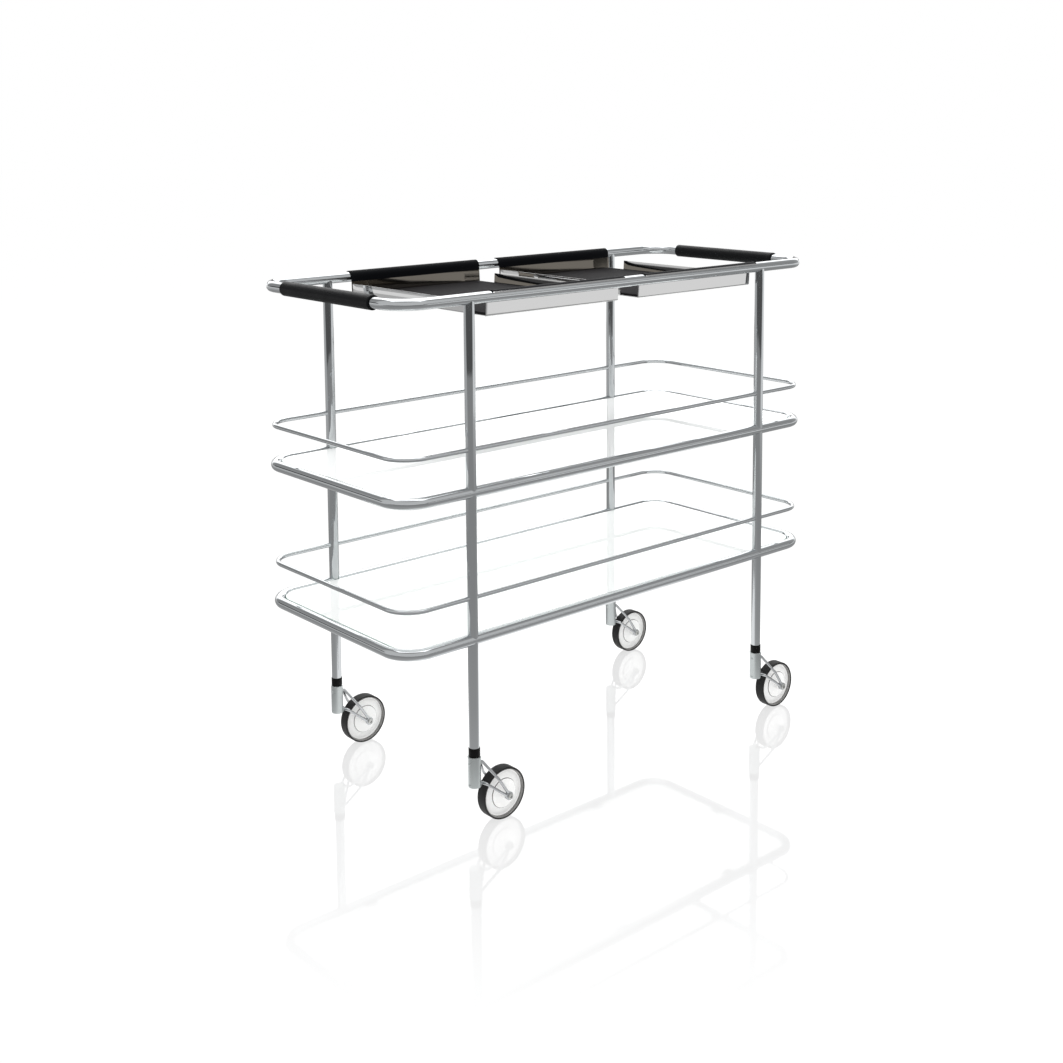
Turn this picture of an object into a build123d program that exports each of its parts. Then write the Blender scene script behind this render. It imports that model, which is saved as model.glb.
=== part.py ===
from build123d import *
from math import cos, radians, sin, tan
import os

# A bar cart on four swivel casters. A chromed tube frame carries two glass shelves with
# gallery rods round them, and two sheet metal trays hook over its top rail and slide along it.
# Millimetres, +Z up, +X along the cart. The origin is on the floor under the cart's middle.

# ---- Frame of round tube ----
RING_HALF_LENGTH = 494.0        # centreline of the rail and of both shelf rings
RING_HALF_WIDTH = 206.0
RING_CORNER = 50.0
RING_TUBE_RADIUS = 9.5
RING_TUBE_WALL = 1.5
RAIL_HEIGHT = 890.5             # heights of tube centrelines above the floor
UPPER_SHELF_HEIGHT = 573.0
LOWER_SHELF_HEIGHT = 325.0
LEG_INSET = 138.0               # from the ring's end to a leg's centre
LEG_RADIUS = 9.0
LEG_WALL = 1.5
WELD_GAP = 0.05                 # between a coped end and the tube that it is welded to

# ---- Gallery rods round the shelves ----
GALLERY_RISE = 71.0             # above the centre of its shelf ring
GALLERY_ROD_RADIUS = 4.0
GALLERY_OUTSET = 1.0            # of an end loop's far run beyond its shelf ring
GALLERY_CORNER = 48.0

# ---- Glass shelves on padded tabs ----
GLASS_THICKNESS = 6.0
GLASS_SIDE_GAP = 0.3
TAB_REACH = 14.0
TAB_WIDTH = 22.0
TAB_THICKNESS = 2.5
TAB_SPACING = 300.0
PAD_RADIUS = 5.0
PAD_THICKNESS = 1.5

# ---- Grips on the ends of the top rail ----
GRIP_LENGTH = 262.0
GRIP_SHIFT = 6.5                # left grip towards the front, right grip towards the back
GRIP_RADIUS = 12.5
GRIP_END_ROUND = 1.0
GRIP_FIT = 0.05

# ---- Sliding trays of folded sheet ----
SHEET = 1.2
TRAY_LENGTH = 301.0
TRAY_DROP = 34.0                # from the rail's centre to the tray's underside
TRAY_END_HEIGHT = 22.5
TRAY_GAP = 49.5                 # between the two trays as they stand
TRAY_PAIR_SHIFT = 13.75         # from the cart's middle to the middle of that gap
HOOK_CLEARANCE = 0.3
HOOK_LIP_ANGLE = 34.0           # where the hook ends, above the horizontal outside the rail
SIDE_WALL_LEAN = 3.2            # degrees outwards
END_WALL_LEAN = 4.0
CORNER_OPENING = 49.0           # beside one end of each end wall, down to the floor
BEND_RADIUS = 1.5
MAT_THICKNESS = 4.0
MAT_MARGIN = 2.0

# ---- Casters ----
WHEEL_RADIUS = 44.5
TYRE_WIDTH = 20.0
TYRE_THICKNESS = 2.6
TYRE_ROUND = 1.6
TYRE_FIT = 0.05
RIM_THICKNESS = 1.4
RIM_WIDTH = 18.4
PLATEAU_RADIUS = 25.5
PLATEAU_WIDTH = 16.0
PLATEAU_STEP = 1.2
WEB_WIDTH = 3.0
HUB_RADIUS = 7.5
HUB_END_GAP = 0.3
RUNNING_FIT = 0.05
SLEEVE_RADIUS = 5.0
AXLE_RADIUS = 3.0
AXLE_FIT = 0.05
AXLE_HEAD_RADIUS = 5.2
AXLE_HEAD_HEIGHT = 2.6
BARREL_RADIUS = 11.0
BARREL_LENGTH = 53.2
BARREL_RISE = 27.0              # from the axle up to the barrel's bottom
BARREL_ROUND = 1.0
BARREL_FLAT = 7.0               # from the pin's axis to the flat that carries the lugs
WHEEL_TO_BARREL = 1.5
SWIVEL_GAP = 0.3
PIN_RADIUS = 5.0
PIN_LENGTH = 56.0
PIN_END_GAP = 0.5
PLUG_LENGTH = 32.0
PLUG_FIT = 0.05
COLLAR_LENGTH = 15.0
COLLAR_RADIUS = 9.9
COLLAR_ROUND = 0.8

# ---- Wire forks ----
WIRE_RADIUS = 2.5
WIRE_SOCKET_FIT = 0.05
WIRE_SOCKET_DEPTH = 3.5
WIRE_OFFSET = 3.4               # of a wire's centre from the caster's middle plane, in its lug
LUG_HEIGHT = 9.0
LUG_WALL = 1.5
LUG_REACH = 2.5                 # beyond the barrel's flat
UPPER_LUG_DROP = 11.7           # from the barrel's top to the upper lug's centre
RIVET_RADIUS = 2.6
RIVET_HEIGHT = 1.4
EYE_RADIUS = 7.25
EYE_WIDTH = 6.0
TYRE_TO_EYE = 8.0
KNEE_GAP = 1.0                  # between the tyre's side and the lower wire's knee
SPREAD_LENGTH = 26.0            # from the lugs to where the wires run straight beside the wheel
TIGHT_BEND = 3.5
WIDE_BEND = 10.0

# ---- Derived places ----
leg_x = RING_HALF_LENGTH - LEG_INSET
leg_y = RING_HALF_WIDTH
axle_height = WHEEL_RADIUS
caster_trail = WHEEL_RADIUS + WHEEL_TO_BARREL + BARREL_RADIUS
barrel_bottom = axle_height + BARREL_RISE
barrel_top = barrel_bottom + BARREL_LENGTH
collar_bottom = barrel_top + SWIVEL_GAP
leg_foot = collar_bottom + COLLAR_LENGTH
upper_lug = barrel_top - UPPER_LUG_DROP
lower_lug = barrel_bottom + LUG_HEIGHT / 2
lug_end = BARREL_FLAT + LUG_REACH
rim_radius = WHEEL_RADIUS - TYRE_THICKNESS - TYRE_FIT
eye_inner = TYRE_WIDTH / 2 + TYRE_TO_EYE
eye_middle = eye_inner + EYE_WIDTH / 2
eye_outer = eye_inner + EYE_WIDTH
hook_inner = RING_TUBE_RADIUS + HOOK_CLEARANCE
hook_outer = hook_inner + SHEET
bend_outer = BEND_RADIUS + SHEET
tray_wall = RING_HALF_WIDTH - hook_inner
tray_bottom = RAIL_HEIGHT - TRAY_DROP
tray_offset = (TRAY_LENGTH + TRAY_GAP) / 2

SHELVES = {"upper": UPPER_SHELF_HEIGHT, "lower": LOWER_SHELF_HEIGHT}
CORNERS = {
    "front_left": (-leg_x, -leg_y),
    "front_right": (leg_x, -leg_y),
    "back_left": (-leg_x, leg_y),
    "back_right": (leg_x, leg_y),
}
axle_plane = Plane(origin=(caster_trail, 0, axle_height), x_dir=(1, 0, 0), z_dir=(0, -1, 0))
axle_axis = Axis((caster_trail, 0, axle_height), (0, 1, 0))


def save(solid, name):
    """Label a finished piece and write it to a STEP file of the same name."""
    solid.label = name
    export_step(solid, f"parts/{name}.step")


def rounded_outline(height):
    """The closed centreline of the rail or of a shelf ring."""
    with BuildSketch(Plane.XY.offset(height)) as outline:
        RectangleRounded(2 * RING_HALF_LENGTH, 2 * RING_HALF_WIDTH, RING_CORNER)
    return outline.sketch.face().outer_wire()


def start_plane(path):
    """The plane square to a path at its start."""
    return Plane(origin=path @ 0, z_dir=path % 0)


def bent_path(points, bends):
    """A path through the given corners, each rounded by its own bend radius."""
    with BuildLine() as bent:
        FilletPolyline(*points, radius=bends)
    return bent.wire()


def ring(height):
    """A closed ring of bent tube, with its bore."""
    path = rounded_outline(height)
    with BuildPart() as tube:
        with BuildSketch(start_plane(path)):
            Circle(RING_TUBE_RADIUS)
            Circle(RING_TUBE_RADIUS - RING_TUBE_WALL, mode=Mode.SUBTRACT)
        sweep(path=path)
    return tube.part


def leg(x, y):
    """One leg: three lengths of tube, each coped over the rings that it is welded to."""
    cope = RING_TUBE_RADIUS + WELD_GAP
    stations = [leg_foot, LOWER_SHELF_HEIGHT, UPPER_SHELF_HEIGHT, RAIL_HEIGHT]
    with BuildPart() as tube:
        with BuildSketch(Plane.XY.offset(leg_foot)):
            with Locations((x, y)):
                Circle(LEG_RADIUS)
                Circle(LEG_RADIUS - LEG_WALL, mode=Mode.SUBTRACT)
        extrude(amount=RAIL_HEIGHT - leg_foot)
        for height in stations[1:]:
            with Locations((x, y, height)):
                Cylinder(cope, 4 * cope, rotation=(0, 90, 0), mode=Mode.SUBTRACT)
    return tube.part


def gallery_rod(y, height):
    """A straight gallery rod, coped between two legs."""
    with BuildPart() as rod:
        with BuildSketch(Plane.YZ.offset(-leg_x)):
            with Locations((y, height)):
                Circle(GALLERY_ROD_RADIUS)
        extrude(amount=2 * leg_x)
        with Locations((-leg_x, y, height), (leg_x, y, height)):
            Cylinder(LEG_RADIUS + WELD_GAP, 4 * GALLERY_ROD_RADIUS, mode=Mode.SUBTRACT)
    return rod.part


def gallery_loop(side, height):
    """A U-shaped gallery rod past one end of the shelf, from the front leg round to the back leg."""
    far = side * (RING_HALF_LENGTH + GALLERY_OUTSET)
    near = side * leg_x
    corners = [(near, -leg_y, height), (far, -leg_y, height), (far, leg_y, height), (near, leg_y, height)]
    path = bent_path(corners, GALLERY_CORNER)
    with BuildPart() as loop:
        with BuildSketch(start_plane(path)):
            Circle(GALLERY_ROD_RADIUS)
        sweep(path=path)
        with Locations((near, -leg_y, height), (near, leg_y, height)):
            Cylinder(LEG_RADIUS + WELD_GAP, 4 * GALLERY_ROD_RADIUS, mode=Mode.SUBTRACT)
    return loop.part


def glass_shelf(height):
    """A glass plate that lies inside its ring, with its underside at the ring's centre."""
    inset = RING_TUBE_RADIUS + GLASS_SIDE_GAP
    with BuildPart() as glass:
        with BuildSketch(Plane.XY.offset(height)):
            RectangleRounded(
                2 * (RING_HALF_LENGTH - inset), 2 * (RING_HALF_WIDTH - inset), RING_CORNER - inset
            )
        extrude(amount=GLASS_THICKNESS)
        chamfer(glass.faces().group_by(Axis.Z)[-1].edges(), length=GLASS_THICKNESS / 10)
    return glass.part


def tab_places(inset):
    """Where the tabs stand, at a distance inside the ring's centreline, with their turn."""
    side = RING_HALF_WIDTH - inset
    end = RING_HALF_LENGTH - inset
    long_sides = [(x, y, 90) for y in (-side, side) for x in (-TAB_SPACING, 0, TAB_SPACING)]
    return long_sides + [(-end, 0, 0), (end, 0, 0)]


def shelf_tabs(height):
    """The small tabs welded inside a ring, coped to its tube, that carry the glass."""
    reach = RING_TUBE_RADIUS + TAB_REACH
    with BuildPart() as tabs:
        with BuildSketch(Plane.XY.offset(height - PAD_THICKNESS)):
            for x, y, turn in tab_places(reach / 2):
                with Locations(Location((x, y), turn)):
                    Rectangle(reach, TAB_WIDTH)
        extrude(amount=-TAB_THICKNESS)
        path = rounded_outline(height)
        with BuildSketch(start_plane(path)):
            Circle(RING_TUBE_RADIUS + WELD_GAP)
        sweep(path=path, mode=Mode.SUBTRACT)
    return tabs.part


def shelf_pads(height):
    """The soft pads between the tabs and the glass."""
    inset = RING_TUBE_RADIUS + TAB_REACH / 2
    with BuildPart() as pads:
        with BuildSketch(Plane.XY.offset(height)):
            with Locations([(x, y) for x, y, turn in tab_places(inset)]):
                Circle(PAD_RADIUS)
        extrude(amount=-PAD_THICKNESS)
    return pads.part


def grip(side):
    """A padded sleeve on one end of the top rail."""
    back_end = GRIP_LENGTH / 2 + side * GRIP_SHIFT
    plane = Plane(origin=(side * RING_HALF_LENGTH, back_end, RAIL_HEIGHT), z_dir=(0, -1, 0))
    with BuildPart() as sleeve:
        with BuildSketch(plane):
            Circle(GRIP_RADIUS)
            Circle(RING_TUBE_RADIUS + GRIP_FIT, mode=Mode.SUBTRACT)
        extrude(amount=GRIP_LENGTH)
        rims = sleeve.edges().filter_by(GeomType.CIRCLE).filter_by(lambda e: e.radius == GRIP_RADIUS)
        fillet(rims, radius=GRIP_END_ROUND)
    return sleeve.part


def fold_place(top, height, lean):
    """How far out the fold below a leaning wall has its centre, from the place of the wall's outer face."""
    foot_height = tray_bottom + bend_outer * (1 - sin(radians(lean)))
    return top - (height - foot_height) * tan(radians(lean)) - bend_outer * cos(radians(lean))


def side_fold():
    """The distance from the tray's middle line to the fold under a side wall."""
    hook_end = radians(180 - SIDE_WALL_LEAN)
    top = RING_HALF_WIDTH + hook_inner * cos(hook_end)
    return fold_place(top, RAIL_HEIGHT + hook_inner * sin(hook_end), SIDE_WALL_LEAN)


def end_fold():
    """The distance from the tray's middle to the fold under an end wall."""
    return fold_place(TRAY_LENGTH / 2, tray_bottom + TRAY_END_HEIGHT, END_WALL_LEAN)


def tray(middle):
    """A folded tray: side walls that hook over the rail, a floor and two low end walls."""
    floor_top = tray_bottom + SHEET
    bend_height = tray_bottom + bend_outer
    hook_sweep = 180 - SIDE_WALL_LEAN - HOOK_LIP_ANGLE
    side_bend = 90 - SIDE_WALL_LEAN
    with BuildPart() as folded:
        # Side wall and hook, folded up from the floor's edge.
        with BuildSketch(Plane.YZ.offset(middle - TRAY_LENGTH / 2)):
            with BuildLine():
                rail = (RING_HALF_WIDTH, RAIL_HEIGHT)
                fold = (side_fold(), bend_height)
                hook_inside = CenterArc(rail, hook_inner, HOOK_LIP_ANGLE, hook_sweep)
                hook_outside = CenterArc(rail, hook_outer, HOOK_LIP_ANGLE, hook_sweep)
                bend_outside = CenterArc(fold, bend_outer, -90, side_bend)
                bend_inside = CenterArc(fold, BEND_RADIUS, -90, side_bend)
                Line(hook_inside @ 0, hook_outside @ 0)
                Line(hook_inside @ 1, bend_outside @ 1)
                Line(hook_outside @ 1, bend_inside @ 1)
                Line(bend_outside @ 0, bend_inside @ 0)
            make_face()
        extrude(amount=TRAY_LENGTH)
        mirror(about=Plane.XZ)
        # Floor between the folds.
        with BuildSketch(Plane.XY.offset(tray_bottom)):
            with Locations((middle, 0)):
                Rectangle(2 * end_fold(), 2 * side_fold())
        extrude(amount=SHEET)
        # End walls, each open at one corner: the left one in front, the right one at the back.
        lean = radians(END_WALL_LEAN)
        end_top = tray_bottom + TRAY_END_HEIGHT
        open_end = tray_wall - CORNER_OPENING
        for side, back_end in ((-1, side_fold()), (1, open_end)):
            fold = (middle + side * end_fold(), bend_height)
            rim_outside = (middle + side * TRAY_LENGTH / 2, end_top)
            rim_inside = (rim_outside[0] - side * SHEET * cos(lean), end_top + SHEET * sin(lean))
            with BuildSketch(Plane.XZ.offset(-back_end)):
                with BuildLine():
                    bend_outside = CenterArc(fold, bend_outer, -90, side * (90 - END_WALL_LEAN))
                    bend_inside = CenterArc(fold, BEND_RADIUS, -90, side * (90 - END_WALL_LEAN))
                    Polyline(bend_outside @ 1, rim_outside, rim_inside, bend_inside @ 1)
                    Line(bend_outside @ 0, bend_inside @ 0)
                make_face()
            extrude(amount=side_fold() + open_end)
    return folded.part


def tray_mat(middle):
    """The soft mat on a tray's floor."""
    with BuildPart() as mat:
        with BuildSketch(Plane.XY.offset(tray_bottom + SHEET)):
            with Locations((middle, 0)):
                Rectangle(2 * (end_fold() - MAT_MARGIN), 2 * (side_fold() - MAT_MARGIN))
        extrude(amount=MAT_THICKNESS)
    return mat.part


def caster_collar():
    """The black collar under the leg's end."""
    with BuildPart() as collar:
        with BuildSketch(Plane.XY.offset(collar_bottom)):
            Circle(COLLAR_RADIUS)
            Circle(PIN_RADIUS + RUNNING_FIT, mode=Mode.SUBTRACT)
        extrude(amount=COLLAR_LENGTH)
        rims = collar.edges().filter_by(GeomType.CIRCLE).filter_by(lambda e: e.radius == COLLAR_RADIUS)
        fillet(rims, radius=COLLAR_ROUND)
    return collar.part


def caster_stem():
    """The stem: a plug pressed into the leg and the pin that the caster swivels on."""
    with BuildPart() as stem:
        with BuildSketch(Plane.XY.offset(leg_foot)):
            Circle(LEG_RADIUS - LEG_WALL - PLUG_FIT)
        extrude(amount=PLUG_LENGTH)
        chamfer(stem.faces().sort_by(Axis.Z)[-1].edges(), length=2 * PIN_END_GAP)
        with BuildSketch(Plane.XY.offset(leg_foot - PIN_LENGTH)):
            Circle(PIN_RADIUS)
        extrude(amount=PIN_LENGTH)
        chamfer(stem.faces().sort_by(Axis.Z)[0].edges(), length=PIN_END_GAP)
    return stem.part


def caster_housing():
    """The swivel barrel with its blind bore and a flat with two lugs for the wires, and two rivet heads."""
    lug_width = 2 * (WIRE_OFFSET + WIRE_RADIUS + LUG_WALL)
    bore_bottom = leg_foot - PIN_LENGTH - PIN_END_GAP
    with BuildPart() as housing:
        with BuildSketch(Plane.XY.offset(barrel_bottom)):
            Circle(BARREL_RADIUS)
        extrude(amount=BARREL_LENGTH)
        fillet(housing.edges().filter_by(GeomType.CIRCLE), radius=BARREL_ROUND)
        with Locations((BARREL_FLAT, 0, barrel_bottom)):
            Box(
                BARREL_RADIUS, 2 * BARREL_RADIUS, BARREL_LENGTH,
                align=(Align.MIN, Align.CENTER, Align.MIN), mode=Mode.SUBTRACT,
            )
        for height in (upper_lug, lower_lug):
            with BuildSketch(Plane.YZ):
                with Locations((0, height)):
                    RectangleRounded(lug_width, LUG_HEIGHT, LUG_WALL)
            extrude(amount=lug_end)
            with BuildSketch(Plane.YZ.offset(lug_end - WIRE_SOCKET_DEPTH)):
                with Locations((-WIRE_OFFSET, height), (WIRE_OFFSET, height)):
                    Circle(WIRE_RADIUS + WIRE_SOCKET_FIT)
            extrude(amount=WIRE_SOCKET_DEPTH, mode=Mode.SUBTRACT)
            with BuildSketch(Plane.YZ.offset(-BARREL_RADIUS - RIVET_HEIGHT)):
                with Locations((0, height)):
                    Circle(RIVET_RADIUS)
            extrude(amount=BARREL_RADIUS / 2, taper=-RIVET_HEIGHT)
        with BuildSketch(Plane.XY.offset(bore_bottom)):
            Circle(PIN_RADIUS + RUNNING_FIT)
        extrude(amount=barrel_top - bore_bottom, mode=Mode.SUBTRACT)
    return housing.part


def slope_height(x0, height0, x1, height1, x):
    """The height at x on the straight slope between two places, seen from the side."""
    return height0 + (height1 - height0) * (x - x0) / (x1 - x0)


def caster_fork():
    """The fork: on each side an upper and a lower wire run from the lugs to an eye on the axle."""
    socket_end = lug_end - WIRE_SOCKET_DEPTH
    first_bend = lug_end + WIRE_RADIUS + KNEE_GAP
    lower_bend = lug_end + WIRE_RADIUS
    knee_x = lower_bend + TIGHT_BEND
    knee_y = TYRE_WIDTH / 2 + WIRE_RADIUS + KNEE_GAP
    knee_height = lower_lug - KNEE_GAP
    straight_x = lug_end + SPREAD_LENGTH
    upper_end = axle_height + WIRE_RADIUS
    lower_end = axle_height - WIRE_RADIUS
    upper = [
        (socket_end, WIRE_OFFSET, upper_lug),
        (first_bend, WIRE_OFFSET, upper_lug),
        (straight_x, eye_middle, slope_height(first_bend, upper_lug, caster_trail, upper_end, straight_x)),
        (caster_trail, eye_middle, upper_end),
    ]
    lower = [
        (socket_end, WIRE_OFFSET, lower_lug),
        (lower_bend, WIRE_OFFSET, lower_lug),
        (knee_x, knee_y, knee_height),
        (straight_x, eye_middle, slope_height(knee_x, knee_height, caster_trail, lower_end, straight_x)),
        (caster_trail, eye_middle, lower_end),
    ]
    wires = [
        bent_path(upper, [TIGHT_BEND, WIDE_BEND]),
        bent_path(lower, [TIGHT_BEND, TIGHT_BEND, WIDE_BEND]),
    ]
    with BuildPart() as fork:
        for path in wires:
            with BuildSketch(start_plane(path)):
                Circle(WIRE_RADIUS)
            sweep(path=path)
        with BuildSketch(axle_plane.offset(-eye_inner)):
            Circle(EYE_RADIUS)
        extrude(amount=-EYE_WIDTH)
        with BuildSketch(axle_plane.offset(-eye_inner + EYE_WIDTH)):
            Circle(AXLE_RADIUS + AXLE_FIT)
        extrude(amount=-3 * EYE_WIDTH, mode=Mode.SUBTRACT)
        mirror(about=Plane.XZ)
    return fork.part


def caster_axle():
    """The bolt with its round head and the nut at its other end."""
    with BuildPart() as axle:
        with BuildSketch(axle_plane.offset(-eye_outer)):
            Circle(AXLE_RADIUS)
        extrude(amount=2 * eye_outer)
        with BuildSketch(axle_plane.offset(eye_outer)):
            Circle(AXLE_HEAD_RADIUS)
        extrude(amount=AXLE_HEAD_HEIGHT)
        fillet(axle.faces().sort_by(Axis.Y)[0].edges(), radius=AXLE_HEAD_HEIGHT / 2)
        with BuildSketch(axle_plane.offset(-eye_outer)):
            RegularPolygon(AXLE_HEAD_RADIUS, side_count=6)
        extrude(amount=-AXLE_HEAD_HEIGHT)
    return axle.part


def caster_sleeve():
    """The spacer sleeve, clamped between the eyes, that the wheel turns on."""
    with BuildPart() as sleeve:
        with BuildSketch(axle_plane.offset(-eye_inner)):
            Circle(SLEEVE_RADIUS)
            Circle(AXLE_RADIUS + AXLE_FIT, mode=Mode.SUBTRACT)
        extrude(amount=2 * eye_inner)
    return sleeve.part


def caster_wheel():
    """The turned wheel: hub, raised middle with a step, coned web and rim."""
    bore = SLEEVE_RADIUS + RUNNING_FIT
    hub_end = eye_inner - HUB_END_GAP
    rim_inner = rim_radius - RIM_THICKNESS
    half = [
        (bore, hub_end),
        (HUB_RADIUS, hub_end),
        (HUB_RADIUS, PLATEAU_WIDTH / 2),
        (PLATEAU_RADIUS, PLATEAU_WIDTH / 2),
        (PLATEAU_RADIUS, PLATEAU_WIDTH / 2 - PLATEAU_STEP),
        (rim_inner, WEB_WIDTH / 2),
        (rim_inner, RIM_WIDTH / 2),
        (rim_radius, RIM_WIDTH / 2),
    ]
    with BuildPart() as wheel:
        with BuildSketch(Plane(origin=(caster_trail, 0, axle_height), z_dir=(0, 0, 1))):
            with BuildLine():
                Polyline(*half, *[(r, -y) for r, y in reversed(half)], close=True)
            make_face()
        revolve(axis=axle_axis)
    return wheel.part


def caster_tyre():
    """The tyre, a band with rounded shoulders."""
    with BuildPart() as tyre:
        with BuildSketch(axle_plane.offset(-TYRE_WIDTH / 2)):
            Circle(WHEEL_RADIUS)
            Circle(WHEEL_RADIUS - TYRE_THICKNESS, mode=Mode.SUBTRACT)
        extrude(amount=TYRE_WIDTH)
        rims = tyre.edges().filter_by(GeomType.CIRCLE).filter_by(lambda e: e.radius == WHEEL_RADIUS)
        fillet(rims, radius=TYRE_ROUND)
    return tyre.part


def main():
    """Build every piece and write its file."""
    os.makedirs("parts", exist_ok=True)
    save(ring(RAIL_HEIGHT), "top_rail")
    for shelf, height in SHELVES.items():
        rods = height + GALLERY_RISE
        save(ring(height), f"{shelf}_shelf_ring")
        save(glass_shelf(height), f"{shelf}_glass_shelf")
        save(shelf_tabs(height), f"{shelf}_shelf_tabs")
        save(shelf_pads(height), f"{shelf}_shelf_pads")
        save(gallery_rod(-leg_y, rods), f"{shelf}_front_rod")
        save(gallery_rod(leg_y, rods), f"{shelf}_back_rod")
        save(gallery_loop(-1, rods), f"{shelf}_left_loop")
        save(gallery_loop(1, rods), f"{shelf}_right_loop")
    for side, name in ((-1, "left"), (1, "right")):
        middle = TRAY_PAIR_SHIFT + side * tray_offset
        save(grip(side), f"{name}_grip")
        save(tray(middle), f"{name}_tray")
        save(tray_mat(middle), f"{name}_tray_mat")
    caster_pieces = {
        "collar": caster_collar(),
        "stem": caster_stem(),
        "housing": caster_housing(),
        "fork": caster_fork(),
        "axle": caster_axle(),
        "axle_sleeve": caster_sleeve(),
        "wheel": caster_wheel(),
        "tyre": caster_tyre(),
    }
    for corner, (x, y) in CORNERS.items():
        save(leg(x, y), f"{corner}_leg")
        for piece, solid in caster_pieces.items():
            save(solid.moved(Location((x, y, 0))), f"{corner}_{piece}")


main()
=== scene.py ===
"""The looks of a bar cart on swivel casters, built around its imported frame."""

import math

import bmesh
import bpy
from mathutils import Matrix, Vector


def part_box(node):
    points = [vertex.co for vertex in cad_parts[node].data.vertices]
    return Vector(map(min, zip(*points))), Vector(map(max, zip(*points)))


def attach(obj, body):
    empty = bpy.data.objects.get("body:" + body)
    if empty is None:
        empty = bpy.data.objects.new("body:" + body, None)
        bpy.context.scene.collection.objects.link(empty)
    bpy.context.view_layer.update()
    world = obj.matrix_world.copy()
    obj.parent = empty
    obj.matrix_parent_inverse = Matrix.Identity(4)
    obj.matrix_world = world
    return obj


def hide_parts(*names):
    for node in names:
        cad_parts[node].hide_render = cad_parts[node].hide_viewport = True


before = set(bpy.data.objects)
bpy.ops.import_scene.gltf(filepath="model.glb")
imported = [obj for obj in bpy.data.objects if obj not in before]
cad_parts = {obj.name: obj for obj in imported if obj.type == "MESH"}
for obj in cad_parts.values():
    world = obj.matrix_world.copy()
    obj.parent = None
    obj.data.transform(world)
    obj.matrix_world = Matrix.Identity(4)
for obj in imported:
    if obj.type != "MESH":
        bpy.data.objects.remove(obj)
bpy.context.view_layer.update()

bl_info = {
    "name": "Bar cart on casters",
    "version": (1, 0, 0),
    "blender": (4, 5, 0),
    "location": "3D View > Sidebar > Bar Cart",
    "description": "Builds the tubes, shelves, trays, grips and casters of a bar cart, and a plain studio",
    "category": "Add Mesh",
}

MM = 0.001
CORNERS = ("front_left", "front_right", "back_left", "back_right")
SHELVES = ("upper", "lower")
SIDES = {"left": -1, "right": 1}


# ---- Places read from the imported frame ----

def middle(node):
    """The centre of a node's box at rest."""
    low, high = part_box(node)
    return (low + high) / 2


def span(node):
    """The size of a node's box at rest, along X, Y and Z."""
    low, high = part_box(node)
    return high - low


def tube_radius(node):
    """The radius of a tube that lies level: half of its node's height."""
    return span(node).z / 2


RAIL_RADIUS = tube_radius("top_rail")
ROD_RADIUS = tube_radius("upper_front_rod")
LEG_RADIUS = span("front_left_leg").x / 2
RING_HALF = (span("top_rail") / 2).xy - Vector((RAIL_RADIUS, RAIL_RADIUS))
LEG_X = middle("front_right_leg").x
LEG_Y = middle("back_left_leg").y


# ---- Settings ----

class CartSizes(bpy.types.PropertyGroup):
    """Sizes that the frame's boxes don't give."""
    ring_corner: bpy.props.FloatProperty(
        name="Ring corner", description="Bend radius of the rail and shelf rings",
        default=50 * MM, min=0, subtype="DISTANCE", unit="LENGTH")
    loop_corner: bpy.props.FloatProperty(
        name="Gallery corner", description="Bend radius of the gallery's end loops",
        default=48 * MM, min=0, subtype="DISTANCE", unit="LENGTH")
    sheet: bpy.props.FloatProperty(
        name="Tray sheet", description="Thickness of the trays' sheet metal",
        default=1.2 * MM, min=0, subtype="DISTANCE", unit="LENGTH")
    side_lean: bpy.props.FloatProperty(
        name="Side wall lean", description="How far the trays' side walls lean outwards",
        default=math.radians(3.2), min=0, subtype="ANGLE", unit="ROTATION")
    end_lean: bpy.props.FloatProperty(
        name="End wall lean", description="How far the trays' end walls lean outwards",
        default=math.radians(4), min=0, subtype="ANGLE", unit="ROTATION")
    hook_coat: bpy.props.FloatProperty(
        name="Hook coat", description="How far below the rail's centre the black coat of the hooks ends",
        default=8 * MM, min=0, subtype="DISTANCE", unit="LENGTH")
    corner_opening: bpy.props.FloatProperty(
        name="Corner opening", description="Width of the opening beside one end of each end wall",
        default=49 * MM, min=0, subtype="DISTANCE", unit="LENGTH")
    bend_steps: bpy.props.IntProperty(
        name="Bend steps", description="Segments in each bend of a tube", default=24, min=4)
    sides: bpy.props.IntProperty(
        name="Tube sides", description="Facets round a tube", default=48, min=12)


class CartColours(bpy.types.PropertyGroup):
    """Colours of the finishes, as sRGB hex text."""
    chrome: bpy.props.StringProperty(
        name="Chrome", description="Colour of the chromium plating", default="#C2C5C7")
    wire: bpy.props.StringProperty(
        name="Fork wire", description="Colour of the plating on the fork wires", default="#B6B8BA")
    sheet_steel: bpy.props.StringProperty(
        name="Sheet steel", description="Colour of the trays' polished sheet", default="#CFCFCF")
    # A darker, warmer copy of the sheet's colour for the trays' insides: painted shade.
    sheet_inside_painted_shade: bpy.props.StringProperty(
        name="Sheet inside", description="Colour of the sheet inside the trays", default="#948E85")
    rubber: bpy.props.StringProperty(
        name="Tyre rubber", description="Colour of the tyres", default="#1C1C1D")
    grip: bpy.props.StringProperty(
        name="Grip", description="Colour of the grips", default="#0A0B0D")
    mat: bpy.props.StringProperty(
        name="Tray mat", description="Colour of the trays' mats", default="#19181A")
    glass: bpy.props.StringProperty(
        name="Glass", description="Colour of the satin glass", default="#FBFDFC")


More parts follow.
